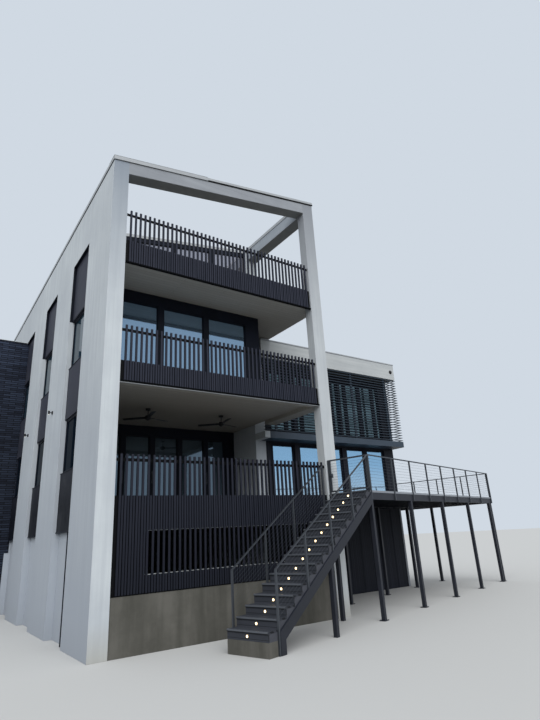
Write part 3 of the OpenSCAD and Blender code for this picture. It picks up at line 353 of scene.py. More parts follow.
def cement_render(name, light, stained, way, side_foot_shade=None, top_shade=None):
    """Cement render, combed one way and painted: the eye sees a flat pale face with faint clouds,
    long runs of rain stain and the comb's fine lines, which take the shine off. Where their tones
    are given, painted shade darkens it towards the foot on faces away from the front, and painted
    shade darkens it high up, on the front alone where the side faces are shaded at the foot."""
    material, tree, coords = begin(name)
    clean = rained_on(tree, coords, {"Scale": 0.55, "Detail": 6.0, "Roughness": 0.6},
                      drawn_out(tree, coords, way, 7.0, 0.35, 8.0, 0.65), 0.38)
    tone = add(tree, "ShaderNodeMix", {"data_type": "RGBA", 6: paint(stained), 7: paint(light)},
               {0: clean})
    # Rain splashes the foot up to about 0.6 m
    tone = add(tree, "ShaderNodeMix", {"data_type": "RGBA", 6: paint("#aaa698")},
               {0: share_along(tree, coords, "Z", -0.5, 0.7), 7: tone.outputs[2]})
    # Painted shade: faces away from the front darken towards the foot
    if side_foot_shade:
        on_front = near_side(tree, house_coords(tree, coords), "Y", 0.004)
        unshaded = add(tree, "ShaderNodeMath", {"operation": "MAXIMUM"},
                  {0: on_front, 1: share_along(tree, coords, "Z", -1.0, 8.5)})
        tone = add(tree, "ShaderNodeMix", {"data_type": "RGBA", 6: paint(side_foot_shade)},
                   {0: unshaded.outputs["Value"], 7: tone.outputs[2]})
    # Painted shade: darker high up, on the front alone where the side faces are shaded at the foot
    if top_shade:
        high = share_along(tree, coords, "Z", 8.0, 13.0)
        if side_foot_shade:
            high = add(tree, "ShaderNodeMath", {"operation": "MULTIPLY"},
                       {0: high, 1: on_front}).outputs["Value"]
        tone = add(tree, "ShaderNodeMix", {"data_type": "RGBA", 7: paint(top_shade)},
                   {0: high, 6: tone.outputs[2]})
    # Comb lines of 3 mm, drawn 40 mm apart so that they show
    comb = drawn_out(tree, coords, way, 26.0, 0.3, 3.0)
    shade = add(tree, "ShaderNodeMapRange",
                {"From Min": 0.25, "From Max": 0.5, "To Min": 0.16, "To Max": 0.0},
                {"Value": comb})
    ruled = add(tree, "ShaderNodeMix", {"data_type": "RGBA", 7: paint("#9aa1a8")},
                {0: shade.outputs["Result"], 6: tone.outputs[2]})
    close(tree, {"Roughness": 0.75, "Specular IOR Level": 0.35}, {"Base Color": ruled.outputs[2]},
          (comb, 0.22, 0.004))
    return material


def powder_coat(name, colour, worn, roughness, shine=0.35, metallic=0.0, low=None):
    """Powder-coated aluminium: an even satin skin with a slight orange peel, a little paler where
    salt and rain have dulled it; where a low tone is given, painted shade darkens it near its foot."""
    material, tree, coords = begin(name)
    dull = add(tree, "ShaderNodeTexNoise", {"Scale": 1.8, "Detail": 6.0, "Roughness": 0.6},
               {"Vector": coords})
    amount = add(tree, "ShaderNodeMapRange", {"From Min": 0.35, "From Max": 0.75},
                 {"Value": dull.outputs["Fac"]})
    tone = add(tree, "ShaderNodeMix", {"data_type": "RGBA", 6: paint(colour), 7: paint(worn)},
               {0: amount.outputs["Result"]})
    # Painted shade: darker towards the foot
    if low:
        tone = add(tree, "ShaderNodeMix", {"data_type": "RGBA", 6: paint(low)},
                   {0: share_along(tree, coords, "Z", 3.2, 6.2), 7: tone.outputs[2]})
    rough = add(tree, "ShaderNodeMapRange", {"From Min": 0.3, "From Max": 0.7,
                                             "To Min": roughness - 0.06, "To Max": roughness + 0.1},
                {"Value": dull.outputs["Fac"]})
    close(tree, {"Metallic": metallic, "Specular IOR Level": shine},
          {"Base Color": tone.outputs[2], "Roughness": rough.outputs["Result"]},
          orange_peel(tree, coords))
    return material


def ledge_coat():
    """Powder coat on the wing's ledge: slate blue, and white like the wall on the near end that
    passes over the main block's right wall."""
    material, tree, coords = begin("slate blue ledge powder coat")
    dull = add(tree, "ShaderNodeTexNoise", {"Scale": 1.8, "Detail": 6.0}, {"Vector": coords})
    slate = add(tree, "ShaderNodeMix",
                {"data_type": "RGBA", 6: paint("#333e4a"), 7: paint("#3f4b58")},
                {0: dull.outputs["Fac"]})
    over_wall = near_side(tree, house_coords(tree, coords), "X", POST_X + 0.21)
    tone = add(tree, "ShaderNodeMix", {"data_type": "RGBA", 7: paint("#cdd3d7")},
               {0: over_wall, 6: slate.outputs[2]})
    close(tree, {"Roughness": 0.5, "Specular IOR Level": 0.3}, {"Base Color": tone.outputs[2]})
    return material


def slat_coat():
    """Blue-black powder coat on the screens' slats: dull and paler on the slats' faces. Painted
    shade darkens it towards the foot and makes it nearly black in the gaps and on the sheet behind."""
    material, tree, coords = begin("blue-black slat powder coat")
    # Rain dulls the faces in long upright runs about 60 mm wide
    runs = drawn_out(tree, coords, "Z", 16.0, 0.9, 4.0)
    face = add(tree, "ShaderNodeMix",
               {"data_type": "RGBA", 6: paint("#1e232e"), 7: paint("#3b3d49")}, {0: runs})
    # Painted shade: darker towards the foot
    low_shade = add(tree, "ShaderNodeMix", {"data_type": "RGBA", 6: paint("#10131a")},
               {0: share_along(tree, coords, "Z", -1.5, 6.5), 7: face.outputs[2]})
    # Painted shade: nearly black behind the slats' front faces
    behind = share_along(tree, house_coords(tree, coords), "Y", 0.0235, 0.026)
    tone = add(tree, "ShaderNodeMix", {"data_type": "RGBA", 7: paint("#050609")},
               {0: behind, 6: low_shade.outputs[2]})
    close(tree, {"Roughness": 0.62, "Specular IOR Level": 0.12}, {"Base Color": tone.outputs[2]},
          orange_peel(tree, coords))
    return material


def laid_boards(name, colours, gap_colour, width, length, roughness, lay, inner_shade=None,
                trodden=None):
    """Boards laid side by side: each has its own tone, long grain, and a dark shadow gap. The
    lay function turns the coordinates so that the boards run along their X. A ceiling may have an
    inner tone of painted shade away from its open front edge, and the side of a floor that is
    walked on another."""
    material, tree, coords = begin(name)
    laid = lay(tree, coords)
    boards = add(tree, "ShaderNodeTexBrick",
                 {"offset": 0.37, "Scale": 1.0, "Mortar Size": 0.005, "Mortar Smooth": 0.2,
                  "Brick Width": length, "Row Height": width, "Color1": paint(colours[0]),
                  "Color2": paint(colours[1]), "Mortar": paint(gap_colour)},
                 {"Vector": laid})
    face = boards.outputs["Color"]
    # Painted shade: the ceiling darkens away from its open front edge
    if inner_shade:
        face = add(tree, "ShaderNodeMix", {"data_type": "RGBA", 7: paint(inner_shade)},
                   {0: share_along(tree, laid, "Y", 0.3, 3.0), 6: face}).outputs[2]
    if trodden:
        facing = add(tree, "ShaderNodeSeparateXYZ",
                     links={"Vector": add(tree, "ShaderNodeTexCoord").outputs["Normal"]})
        top = add(tree, "ShaderNodeMath", {"operation": "GREATER_THAN", 1: 0.5},
                  {0: facing.outputs["Z"]})
        face = add(tree, "ShaderNodeMix",
                   {"data_type": "RGBA", "blend_type": "MULTIPLY", 7: paint(trodden)},
                   {0: top.outputs["Value"], 6: face}).outputs[2]
    # Grain 6 mm wide and about 0.3 m long
    grain = add(tree, "ShaderNodeMapRange", {"From Min": 0.3, "From Max": 0.7, "To Max": 0.35},
                {"Value": drawn_out(tree, laid, "X", 160.0, 3.0, 4.0)})
    tone = add(tree, "ShaderNodeMix", {"data_type": "RGBA", 7: paint(gap_colour)},
               {0: grain.outputs["Result"], 6: face})
    relief = add(tree, "ShaderNodeMath", {"operation": "MULTIPLY_ADD", 1: -1.0},
                 {0: boards.outputs["Fac"], 2: grain.outputs["Result"]})
    close(tree, {"Roughness": roughness, "Specular IOR Level": 0.3},
          {"Base Color": tone.outputs[2]}, (relief.outputs["Value"], 0.5, 0.006))
    return material


def along_stair(tree, coords):
    """Boards across the stair: their rows follow the treads and then the risers."""
    parts = add(tree, "ShaderNodeSeparateXYZ", links={"Vector": deck_coords(tree, coords)})
    run = add(tree, "ShaderNodeMath", {"operation": "ADD"},
              {0: parts.outputs["X"], 1: parts.outputs["Z"]})
    return add(tree, "ShaderNodeCombineXYZ",
               links={"X": parts.outputs["Y"], "Y": run.outputs["Value"]}).outputs["Vector"]


def along_stringer(tree, coords):
    """Boards along the stair's slope, on its sides."""
    slope = math.atan2(RISE, RUN)
    turned = add(tree, "ShaderNodeMapping", {"Rotation": (0.0, slope, 0.0)},
                 {"Vector": deck_coords(tree, coords)})
    parts = add(tree, "ShaderNodeSeparateXYZ", links={"Vector": turned.outputs["Vector"]})
    return add(tree, "ShaderNodeCombineXYZ",
               links={"X": parts.outputs["X"], "Y": parts.outputs["Z"]}).outputs["Vector"]


def glazed_brick():
    """Near-black brick with a dull glaze: long courses 86 mm high, with recessed joints that read
    as fine black lines, and bricks that differ a little in tone, paler and bluer towards the top."""
    material, tree, coords = begin("dull glazed brick")
    bricks = add(tree, "ShaderNodeTexBrick",
                 {"Scale": 1.0, "Mortar Size": 0.012, "Mortar Smooth": 0.3, "Bias": -0.1,
                  "Brick Width": 0.49, "Row Height": 0.086, "Color1": paint("#1b202c"),
                  "Color2": paint("#323a4a"), "Mortar": paint("#050609")},
                 {"Vector": upright_coords(tree, coords)})
    paler_top = add(tree, "ShaderNodeMix", {"data_type": "RGBA", "blend_type": "MULTIPLY", 0: 1.0,
                                         7: (1.38, 1.42, 1.5, 1.0)}, {6: bricks.outputs["Color"]})
    tone = add(tree, "ShaderNodeMix", {"data_type": "RGBA"},
               {0: share_along(tree, coords, "Z", 6.0, 10.5), 6: bricks.outputs["Color"],
                7: paler_top.outputs[2]})
    pits = add(tree, "ShaderNodeTexNoise", {"Scale": 30.0, "Detail": 4.0}, {"Vector": coords})
    relief = add(tree, "ShaderNodeMath", {"operation": "MULTIPLY_ADD", 1: -1.0},
                 {0: bricks.outputs["Fac"], 2: pits.outputs["Fac"]})
    close(tree, {"Roughness": 0.6, "Specular IOR Level": 0.12}, {"Base Color": tone.outputs[2]},
          (relief.outputs["Value"], 0.6, 0.01))
    return material


def cast_concrete():
    """Concrete cast in place: warm mid grey, cloudy where it dried unevenly, darker where water
    ran down it, with small air holes."""
    material, tree, coords = begin("cast concrete")
    clean = rained_on(tree, coords, {"Scale": 0.9, "Detail": 8.0, "Roughness": 0.65},
                      drawn_out(tree, coords, "Z", 4.0, 0.5, 5.0), 0.36)
    tone = add(tree, "ShaderNodeMix",
               {"data_type": "RGBA", 6: paint("#4d4c46"), 7: paint("#66645e")}, {0: clean})
    # Air holes of 8 mm, drawn at 30 mm so that they show
    holes = add(tree, "ShaderNodeTexVoronoi", {"Scale": 16.0}, {"Vector": coords})
    pit = add(tree, "ShaderNodeMapRange", {"From Min": 0.05, "From Max": 0.12},
              {"Value": holes.outputs["Distance"]})
    close(tree, {"Roughness": 0.85, "Specular IOR Level": 0.3}, {"Base Color": tone.outputs[2]},
          (pit.outputs["Result"], 0.3, 0.005))
    return material


def ribbed_cladding():
    """Coated metal cladding with upright ribs 90 mm apart: a dark face ruled with soft shadow
    lines."""
    material, tree, coords = begin("ribbed cladding")
    ribs = add(tree, "ShaderNodeTexBrick",
               {"offset": 0.0, "Scale": 1.0, "Mortar Size": 0.009, "Mortar Smooth": 0.4,
                "Brick Width": 0.09, "Row Height": 40.0, "Color1": paint("#1c1f28"),
                "Color2": paint("#232630"), "Mortar": paint("#0d0f13")},
               {"Vector": upright_coords(tree, coords)})
    sunk = add(tree, "ShaderNodeBump", {"Strength": 0.6, "Distance": 0.012, "invert": True},
               {"Height": ribs.outputs["Fac"]})
    close(tree, {"Roughness": 0.55, "Specular IOR Level": 0.15},
          {"Base Color": ribs.outputs["Color"], "Normal": sunk.outputs["Normal"]})
    return material


def coated_glass(name, lower, upper, turn, metallic, gloss=(0.5, 0.5), lowest=None,
                 film=(6.0, 6.02)):
    """Sun-control glass: a thin metal coat under a clear face, so it gives back a cool blue light
    as a soft mirror, with a slow ripple, and shows little of the room. The coat of the upper
    storey starts at the height of the turn. The lowest panes may have a tone and a dull film of
    their own, which ends between two heights."""
    material, tree, coords = begin(name)
    storey = share_along(tree, coords, "Z", turn - 0.01, turn + 0.01)
    coat = add(tree, "ShaderNodeMix", {"data_type": "RGBA", 6: paint(lower), 7: paint(upper)},
               {0: storey})
    if lowest:
        coat = add(tree, "ShaderNodeMix", {"data_type": "RGBA", 6: paint(lowest)},
                   {0: share_along(tree, coords, "Z", *film), 7: coat.outputs[2]})
    shine = add(tree, "ShaderNodeMapRange", {"To Min": gloss[0], "To Max": gloss[1]},
                {"Value": storey})
    ripple = add(tree, "ShaderNodeTexNoise", {"Scale": 0.9, "Detail": 1.0}, {"Vector": coords})
    close(tree, {"Metallic": metallic, "Roughness": 0.04},
          {"Base Color": coat.outputs[2], "Specular IOR Level": shine.outputs["Result"]},
          (ripple.outputs["Fac"], 0.05, 0.02))
    return material


def brushed_steel(name, colour, worn, metallic):
    """Brushed stainless steel, greyed by sea air: a soft broad shine with fine scratches."""
    material, tree, coords = begin(name)
    scratches = add(tree, "ShaderNodeTexNoise", {"Scale": 60.0, "Detail": 3.0}, {"Vector": coords})
    rough = add(tree, "ShaderNodeMapRange", {"To Min": 0.35, "To Max": 0.55},
                {"Value": scratches.outputs["Fac"]})
    tone = add(tree, "ShaderNodeMix", {"data_type": "RGBA", 6: paint(colour), 7: paint(worn)},
               {0: scratches.outputs["Fac"]})
    close(tree, {"Metallic": metallic},
          {"Base Color": tone.outputs[2], "Roughness": rough.outputs["Result"]})
    return material


def lit_lens(name, colour, strength):
    """A frosted lens with a lamp behind it: a small even glow."""
    material, tree, _ = begin(name)
    close(tree, {"Base Color": paint(colour), "Roughness": 0.4, "Emission Color": paint(colour),
                 "Emission Strength": strength})
    return material


# Painted render: pale and flat, each in its own tone, with painted shade where its tones are given
# Painted shade: the walls' side faces darken towards the foot, and their front darkens high up
WALL = cement_render("painted cement render", "#d3d9dc", "#c0c6cb", "Z", side_foot_shade="#a5acb6",
                     top_shade="#7f8996")
# Painted shade: the post darkens high up
POST = cement_render("painted post render", "#cacfd1", "#b7bcc0", "Z", top_shade="#8f9399")
BEAM = cement_render("combed beam render", "#a2a6ab", "#8d9197", "X")
# Painted shade: the return beam's render is a darker, bluish copy of the walls' white paint
RETURN = cement_render("combed return render", "#acb3ba", "#9ca4ac", "Y")
FASCIA = cement_render("combed fascia render", "#c6c9c9", "#b3b7b8", "X")

# Powder-coated and painted metal: satin and even, the dark ones nearly without shine
SLATS = slat_coat()
LOUVRES = powder_coat("slate blue louvre powder coat", "#333e4a", "#3f4b58", 0.5, 0.3)
LEDGE = ledge_coat()
FRAMES = powder_coat("black window powder coat", "#10141d", "#181d29", 0.55, 0.12)
# Painted shade: the panels darken towards the foot
SPANDREL = powder_coat("violet-grey sheet", "#373943", "#444651", 0.5, 0.06, low="#14161d")
COPING = powder_coat("pale folded coping", "#a3a6a8", "#b1b4b6", 0.45, 0.5, 0.2)
EDGE_TRIM = powder_coat("grey deck edge trim", "#868b92", "#959aa1", 0.5)
# Painted shade: a grey for the sheets under the portal's beams
SHADE_LINING = powder_coat("grey beam shade lining", "#7e8182", "#8b8e8f", 0.7, 0.3)
DECK_STEEL = powder_coat("dark painted steel", "#1e2129", "#282b34", 0.5)
ROOF = powder_coat("matt roof sheet", "#6f6d68", "#7d7b76", 0.8)
# Painted shadow: a black for strips set where edges and gaps fall in shade
SHADOW = powder_coat("black painted shadow strip", "#050608", "#090a0d", 0.7, 0.05)
FAN = powder_coat("black satin paint", "#131418", "#1c1d21", 0.4)
CLADDING = ribbed_cladding()

# Boards: stained under the ceilings, weathered on the deck and the stair
# Painted shade: the ceiling boards darken away from their open front edge
SOFFIT = laid_boards("stained soffit boards", ("#d3d0c9", "#dbd8d2"), "#a9a69f", 0.14, 3.6, 0.75,
                     house_coords, inner_shade="#a8a59f", trodden="#938e87")
DECKING = laid_boards("weathered deck boards", ("#4b4d54", "#585a62"), "#1e2024", 0.14, 3.6, 0.8,
                      deck_coords)
STEPS = laid_boards("weathered step boards", ("#383b42", "#41444c"), "#17191d",
                    (RUN + RISE) / STEP_ROWS, 2.4, 0.75, along_stair)
STRINGERS = laid_boards("weathered stringer boards", ("#4a4c53", "#54565e"), "#26282d", 0.25,
                        6.0, 0.75, along_stringer)

# Masonry, glass, steel and lenses
CONCRETE = cast_concrete()
BRICK = glazed_brick()
GLASS = coated_glass("coated window glass", "#8ba7c0", "#a3a3ad", 9.7, 0.8, lowest="#5f6f7c")
WING_GLASS = coated_glass("coated wing glass", "#9ac6e6", "#5c7178", 5.6, 0.85, lowest="#cde2f0",
                          film=(2.9, 4.7))
SIDE_GLASS = coated_glass("tinted window glass", "#0c1722", "#203744", 6.3, 0.0,
                          gloss=(0.006, 0.25))
STEEL = brushed_steel("brushed stainless steel", "#43474d", "#5a5e64", 0.7)
NOSINGS = brushed_steel("worn nosing strip", "#565a61", "#6a6e75", 0.4)
WARM_LENS = lit_lens("warm lamp lens", "#ffe2b0", 3.0)
PALE_LENS = lit_lens("pale lamp lens", "#e6e4d8", 0.9)
DULL_LENS = lit_lens("frosted lamp lens", "#b9b7af", 0.05)

FINISHES = {
    "white_wall": WALL, "spandrel_panel": SPANDREL, "window_frame": FRAMES, "window_glass": GLASS,
    "side_glass": SIDE_GLASS, "roof_sheet": ROOF, "coping_metal": COPING, "soffit_board": SOFFIT,
    "slat_metal": SLATS, "concrete": CONCRETE, "dark_cladding": CLADDING, "dark_brick": BRICK,
    "deck_board": DECKING, "stringer_board": STRINGERS, "deck_steel": DECK_STEEL,
    "rail_steel": STEEL, "fan_metal": FAN,
}
# Pieces whose finish differs from the others of their slot
OWN_FINISHES = {
    "portal_beam": BEAM, "return_beam": RETURN, "right_post": POST, "wing_fascia": FASCIA,
    "wing_louvres": LOUVRES, "wing_louvre_end": LOUVRES, "wing_ledge": LEDGE,
    "wing_glass": WING_GLASS, "tower_coping": FRAMES, "stair_treads": STEPS,
    "stair_risers": STEPS,
}
for part in frame["record"]["subparts"]:
    mesh = frame["nodes"][part["node"]].data
    mesh.materials.clear()
    mesh.materials.append(OWN_FINISHES.get(part["node"], FINISHES[part["material_slot"]]))

# Fittings


def cut_box(shape, low, high, matrix):
    """Adds a box between two corners to a bmesh."""
    low, high = Vector(low), Vector(high)
    fit = Matrix.Translation((low + high) / 2) @ Matrix.Diagonal((*(high - low), 1.0))
    bmesh.ops.create_cube(shape, size=1.0, matrix=matrix @ fit)


def cut_disc(shape, radius, depth, matrix, segments=24, top=None):
    """Adds a round drum about Z, with its back at the origin."""
    bmesh.ops.create_cone(
        shape, cap_ends=True, segments=segments, radius1=radius,
        radius2=radius if top is None else top, depth=depth,
        matrix=matrix @ at(0, 0, depth / 2))


def soften(shape, width, segments=1):
    """Rounds every edge of a bmesh that turns by more than 30 degrees."""
    sharp = [e for e in shape.edges if len(e.link_faces) == 2
             and e.calc_face_angle(0.0) > math.radians(30)]
    bmesh.ops.bevel(shape, geom=sharp, offset=width, offset_type="OFFSET", affect="EDGES",
                    segments=segments, profile=0.5, material=-1, clamp_overlap=True)


def piece(name, shape, material, body="house", smooth=False):
    """Makes a bmesh an object that rides on a body."""
    mesh = bpy.data.meshes.new(name)
    shape.to_mesh(mesh)
    shape.free()
    mesh.materials.append(material)
    if smooth:
        mesh.shade_smooth()
        mesh.set_sharp_from_angle(angle=math.radians(35))
    made = bpy.data.objects.new(name, mesh)
    bpy.context.scene.collection.objects.link(made)
    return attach(made, body)


def bars(name, spans, material, matrix=None, rounding=0.002):
    """Bars of one fitting, each given by its spans along, back and up in a frame."""
    shape = bmesh.new()
    for x, y, z in spans:
        cut_box(shape, (x[0], y[0], z[0]), (x[1], y[1], z[1]), matrix or place())
    soften(shape, rounding)
    return piece(name, shape, material)


def after(start, size):
    """The span of a size that starts at a place."""
    return (start, start + size)


def before(end, size):
    """The span of a size that ends at a place."""
    return (end - size, end)


def inside(span, width):
    """A span without a width at each end."""
    return (span[0] + width, span[1] - width)


def ring(across, up, depth, width):
    """Four bars round the inside of an opening in a wall that faces the front or the back."""
    return ([(side, depth, up) for side in (after(across[0], width), before(across[1], width))]
            + [(inside(across, width), depth, end)
               for end in (after(up[0], width), before(up[1], width))])


def side_ring(back, up, depth, width):
    """Four bars round the inside of an opening in a wall that faces the side."""
    return [(x, y, z) for y, x, z in ring(back, up, depth, width)]


def coping_details():
    """The longer cap that laps over the front coping's left part, black strips of painted shadow
    under the caps, and a dark strip of painted shadow over the foot of the right part's lip."""
    lap, gap, shade_strip_t, shade_strip_h = 0.012, 0.012, 0.004, 0.03
    joint = up_slope(-COPING_T, COPING_JOINT_X)
    right_part = (joint, up_slope(-COPING_T, BLOCK_W + COPING_T))
    front = roof_place(-COPING_T)
    face = before(-COPING_T, lap)
    bars("coping_lap", [
        ((0.0, joint), face, (-COPING_FOOT, COPING_T + lap)),
        ((0.0, joint), (face[0], BEAM_D + COPING_T), after(COPING_T, lap)),
    ], COPING, front)
    # Painted shadow: black strips under the front cap, and one over the foot of the right part's
    # lip
    bars("front_shadow_gap", [
        ((up_slope(-COPING_T, 0.0), joint), (-gap / 2, 0.0), before(-COPING_FOOT, 0.006)),
        (right_part, (-gap, 0.0), before(-COPING_FOOT, 0.016)),
        (right_part, before(-COPING_T, shade_strip_t), after(-COPING_FOOT, shade_strip_h)),
    ], SHADOW, front)
    # Painted shadow: dark strips under the side caps
    bars("side_shadow_gaps", [
        ((-gap, 0.0), (0.0, BLOCK_D), before(EAVE_Z - COPING_FOOT, 0.02)),
        (after(BLOCK_W, gap), (0.0, BLOCK_D), before(HIGH_EAVE_Z - COPING_FOOT, 0.02)),
    ], FRAMES)


def beam_shade_linings():
    """Grey sheet under the beams of the portal, darker than the beams as painted shade."""
    t, play = 0.006, 0.003
    bars("front_beam_shade_lining", [
        (inside((0.0, up_slope(FIN_W, POST_X)), 0.002), inside((0.0, BEAM_D), play),
         before(-BEAM_H, t)),
    ], SHADE_LINING, roof_place(FIN_W))
    bars("return_beam_shade_lining", [
        (inside((POST_X, BLOCK_W), play), inside((PORTAL_D, TERRACE_D), 0.002),
         before(HIGH_EAVE_Z - RETURN_BEAM_H, t)),
    ], SHADE_LINING)


def screen_details():
    """Foot rails under the slats, black as painted shadow, a pale profile under the second floor's
    edge as painted light, and the trims of the vent opening behind the slats."""
    across = (FIN_W, POST_X)
    # Painted shadow: black rails at the slats' feet and along the plinth
    rails = [(across, (0.011, BACKING_Y), (z - 0.024, z + 0.02)) for z in FOOT_RAIL_ZS]
    rails.append((across, (0.006, SCREEN_Y), (PLINTH_H - 0.016, PLINTH_H + 0.004)))
    bars("screen_foot_shadow_rails", rails, SHADOW)
    # Painted light: a pale profile that stands for the lit front edge of the ceiling
    bars("pale_edge_light_profile", [(across, (0.03, 0.09), (5.784, 5.805))], COPING)
    trim = (0.0555, 0.085)
    bars("vent_sill_trim", [(VENT_X, trim, (VENT_Z[0] - 0.002, VENT_Z[0] + 0.014))], COPING)
    bars("vent_head_trim", [(VENT_X, trim, before(VENT_Z[1], 0.016))], EDGE_TRIM)


def strip_details():
    """Dark linings of the strips' heads and jambs beside the top panels and dark lines under the
    panels, as painted shade, sills, a dark upright bar of painted shade at the first recess's near
    edge, and brick slips where the tower's front turns into the third strip."""
    t, head = 0.006, STRIP_WINDOWS[1][1]
    linings, shadow_lines, sills = [], [], []
    for strip in STRIP_YS:
        # Painted shade: dark linings in the strips' heads and in the jambs beside the top panels
        linings.append(((0.002, PANEL_X), strip, before(STRIP_Z[1], t)))
        for jamb in (after(strip[0], t), before(strip[1], t)):
            linings.append(((0.002, PANEL_X), jamb, (head, STRIP_Z[1] - t)))
        # Painted shade: dark lines under the panels
        shadow_lines.append((before(PANEL_X, 0.014), strip, after(STRIP_Z[0], 0.03)))
        shadow_lines.append((before(PANEL_X, 0.008), strip, after(head, 0.05)))
        sills += [((PANEL_X - 0.015, STRIP_FRAME_X), strip, (sill - 0.004, sill + 0.01))
                  for sill, _ in STRIP_WINDOWS]
    bars("strip_shade_linings", linings, FRAMES)
    bars("strip_shadow_lines", shadow_lines, FRAMES)
    bars("strip_sills", sills, FRAMES)
    # Painted shade: a dark upright bar at the near edge of the first recess
    bars("recess_edge_shade_bar", [
        ((0.085, 0.115), after(STRIP_YS[0][0] + 0.43, 0.03), (0.0, STRIP_Z[0])),
    ], FRAMES)
    turn, up = STRIP_YS[2][1], (2.1, STRIP_Z[1])
    bars("tower_return_slips", [
        ((-0.006, STRIP_FRAME_X - 0.002), before(turn, 0.012), up),
        ((-0.006, 0.0), (turn, TOWER_FRONT_Y + 0.02), up),
    ], BRICK)


def wing_panes(c):
    """The panes of a window of the wing about its bay's middle, as spans along the front."""
    panes = [(c - b, c - a) for a, b in WING_PANES] + [(c + a, c + b) for a, b in WING_PANES]
    clear = [(max(a, WING_NEAR + FRAME_W), b) for a, b in panes]
    return [(a, b) for a, b in clear if b > a + FRAME_W]


def glazing():
    """Sashes and glazing beads on the outside of every pane."""
    sash, bead, bead_d = 0.02, 0.012, 0.014
    sashes, beads = [], []
    for panes, up, glass_y in ((BALCONY_PANES, BALCONY_PANE_Z, BALCONY_GLASS_Y),
                               (TERRACE_PANES, TERRACE_PANE_Z, TERRACE_GLASS_Y)):
        for pane in panes:
            sashes += ring(pane, up, before(glass_y, 0.03), sash)
            beads += ring(inside(pane, sash), inside(up, sash), before(glass_y, bead_d), bead)
    front, rear = before(WING_FRONT_GLASS_Y, bead_d), after(WING_REAR_GLASS_Y, bead_d)
    near, far = WING_DOOR_PANE
    for c in WING_BAYS:
        for pane in ((c - far, c - near), (c + near, c + far)):
            if pane[1] > WING_NEAR + 2 * FRAME_W:
                beads += ring((max(pane[0], WING_NEAR + FRAME_W), pane[1]),
                              inside(WING_DOOR_Z, FRAME_W), front, bead)
        for pane in wing_panes(c):
            for up, depth in ((WING_UPPER_Z, front), (WING_UPPER_Z, rear), (WING_LOWER_Z, rear)):
                beads += ring(pane, inside(up, FRAME_W), depth, bead)
    for window in BACK_WINDOWS:
        for up in BACK_WINDOW_ZS:
            beads += ring(inside(window, FRAME_W), inside(up, FRAME_W),
                          after(BACK_GLASS_Y, bead_d), bead)
    for strip in STRIP_YS:
        for up in STRIP_WINDOWS:
            beads += side_ring(inside(strip, FRAME_W), inside(up, FRAME_W),
                               before(STRIP_GLASS_X, bead_d), bead)
    bars("sliding_sashes", sashes, FRAMES)
    bars("glazing_beads", beads, FRAMES, rounding=0.003)


def window_sills():
    """Folded sills under the wing's and the back wall's windows, and the door tracks."""
    sills, tracks = [], []
    sill, fold = (BLOCK_D - 0.06, BLOCK_D + 0.016), (BLOCK_D + 0.004, BLOCK_D + 0.016)
    for window in BACK_WINDOWS:
        sills += [(window, sill, (z - 0.006, z + 0.008)) for z, _ in BACK_WINDOW_ZS]
        sills += [(window, fold, (z - 0.04, z - 0.006)) for z, _ in BACK_WINDOW_ZS]
    for c in WING_BAYS:
        window = (max(c - WING_WINDOW_HALF, WING_NEAR), c + WING_WINDOW_HALF)
        sills.append((window, (WING_Y[0] - 0.02, WING_FRONT_FRAME_Y),
                      (WING_UPPER_Z[0] - 0.004, WING_UPPER_Z[0] + 0.01)))
        sills += [(window, (WING_REAR_FRAME_Y, WING_Y[1] + 0.02), (z - 0.006, z + 0.008))
                  for z, _ in (WING_LOWER_Z, WING_UPPER_Z)]
        door = (max(c - WING_DOOR_HALF, WING_NEAR), c + WING_DOOR_HALF)
        tracks += [(door, after(WING_Y[0] + rail, 0.012), after(FLOOR_1, 0.016))
                   for rail in (0.01, 0.04)]
        tracks.append((door, (WING_Y[0] + 0.002, WING_FRONT_FRAME_Y), after(FLOOR_1, 0.006)))
    bars("window_sills", sills, FRAMES)
    bars("door_tracks", tracks, STEEL)


def door_handles():
    """Upright bar handles on two short stand-offs, on the stiles of the sliding doors."""
    wing_z, terrace_z, balcony_z = 4.02, 4.02, 7.2
    reach, height, stile = 0.045, 0.42, 0.063
    places = [(c + side, WING_FRONT_FRAME_Y, wing_z) for c in WING_BAYS for side in (-0.06, 0.06)
              if c + side > WING_NEAR]
    for panes, glass_y, z in ((TERRACE_PANES, TERRACE_GLASS_Y, terrace_z),
                              (BALCONY_PANES, BALCONY_GLASS_Y, balcony_z)):
        places += [((a[0] + b[1]) / 2, glass_y - stile, z) for a, b in zip(panes, panes[1:])]
    shape = bmesh.new()
    for x, y, z in places:
        cut_disc(shape, 0.011, height, place(at(x, y - reach, z)), 12)
        for rise in inside((0.0, height), 0.05):
            stand = place(at(x, y, z + rise) @ FACE_FRONT)
            cut_disc(shape, 0.007, reach, stand, 10)
            cut_disc(shape, 0.016, 0.005, stand, 12)
    piece("door_handles", shape, STEEL, smooth=True)


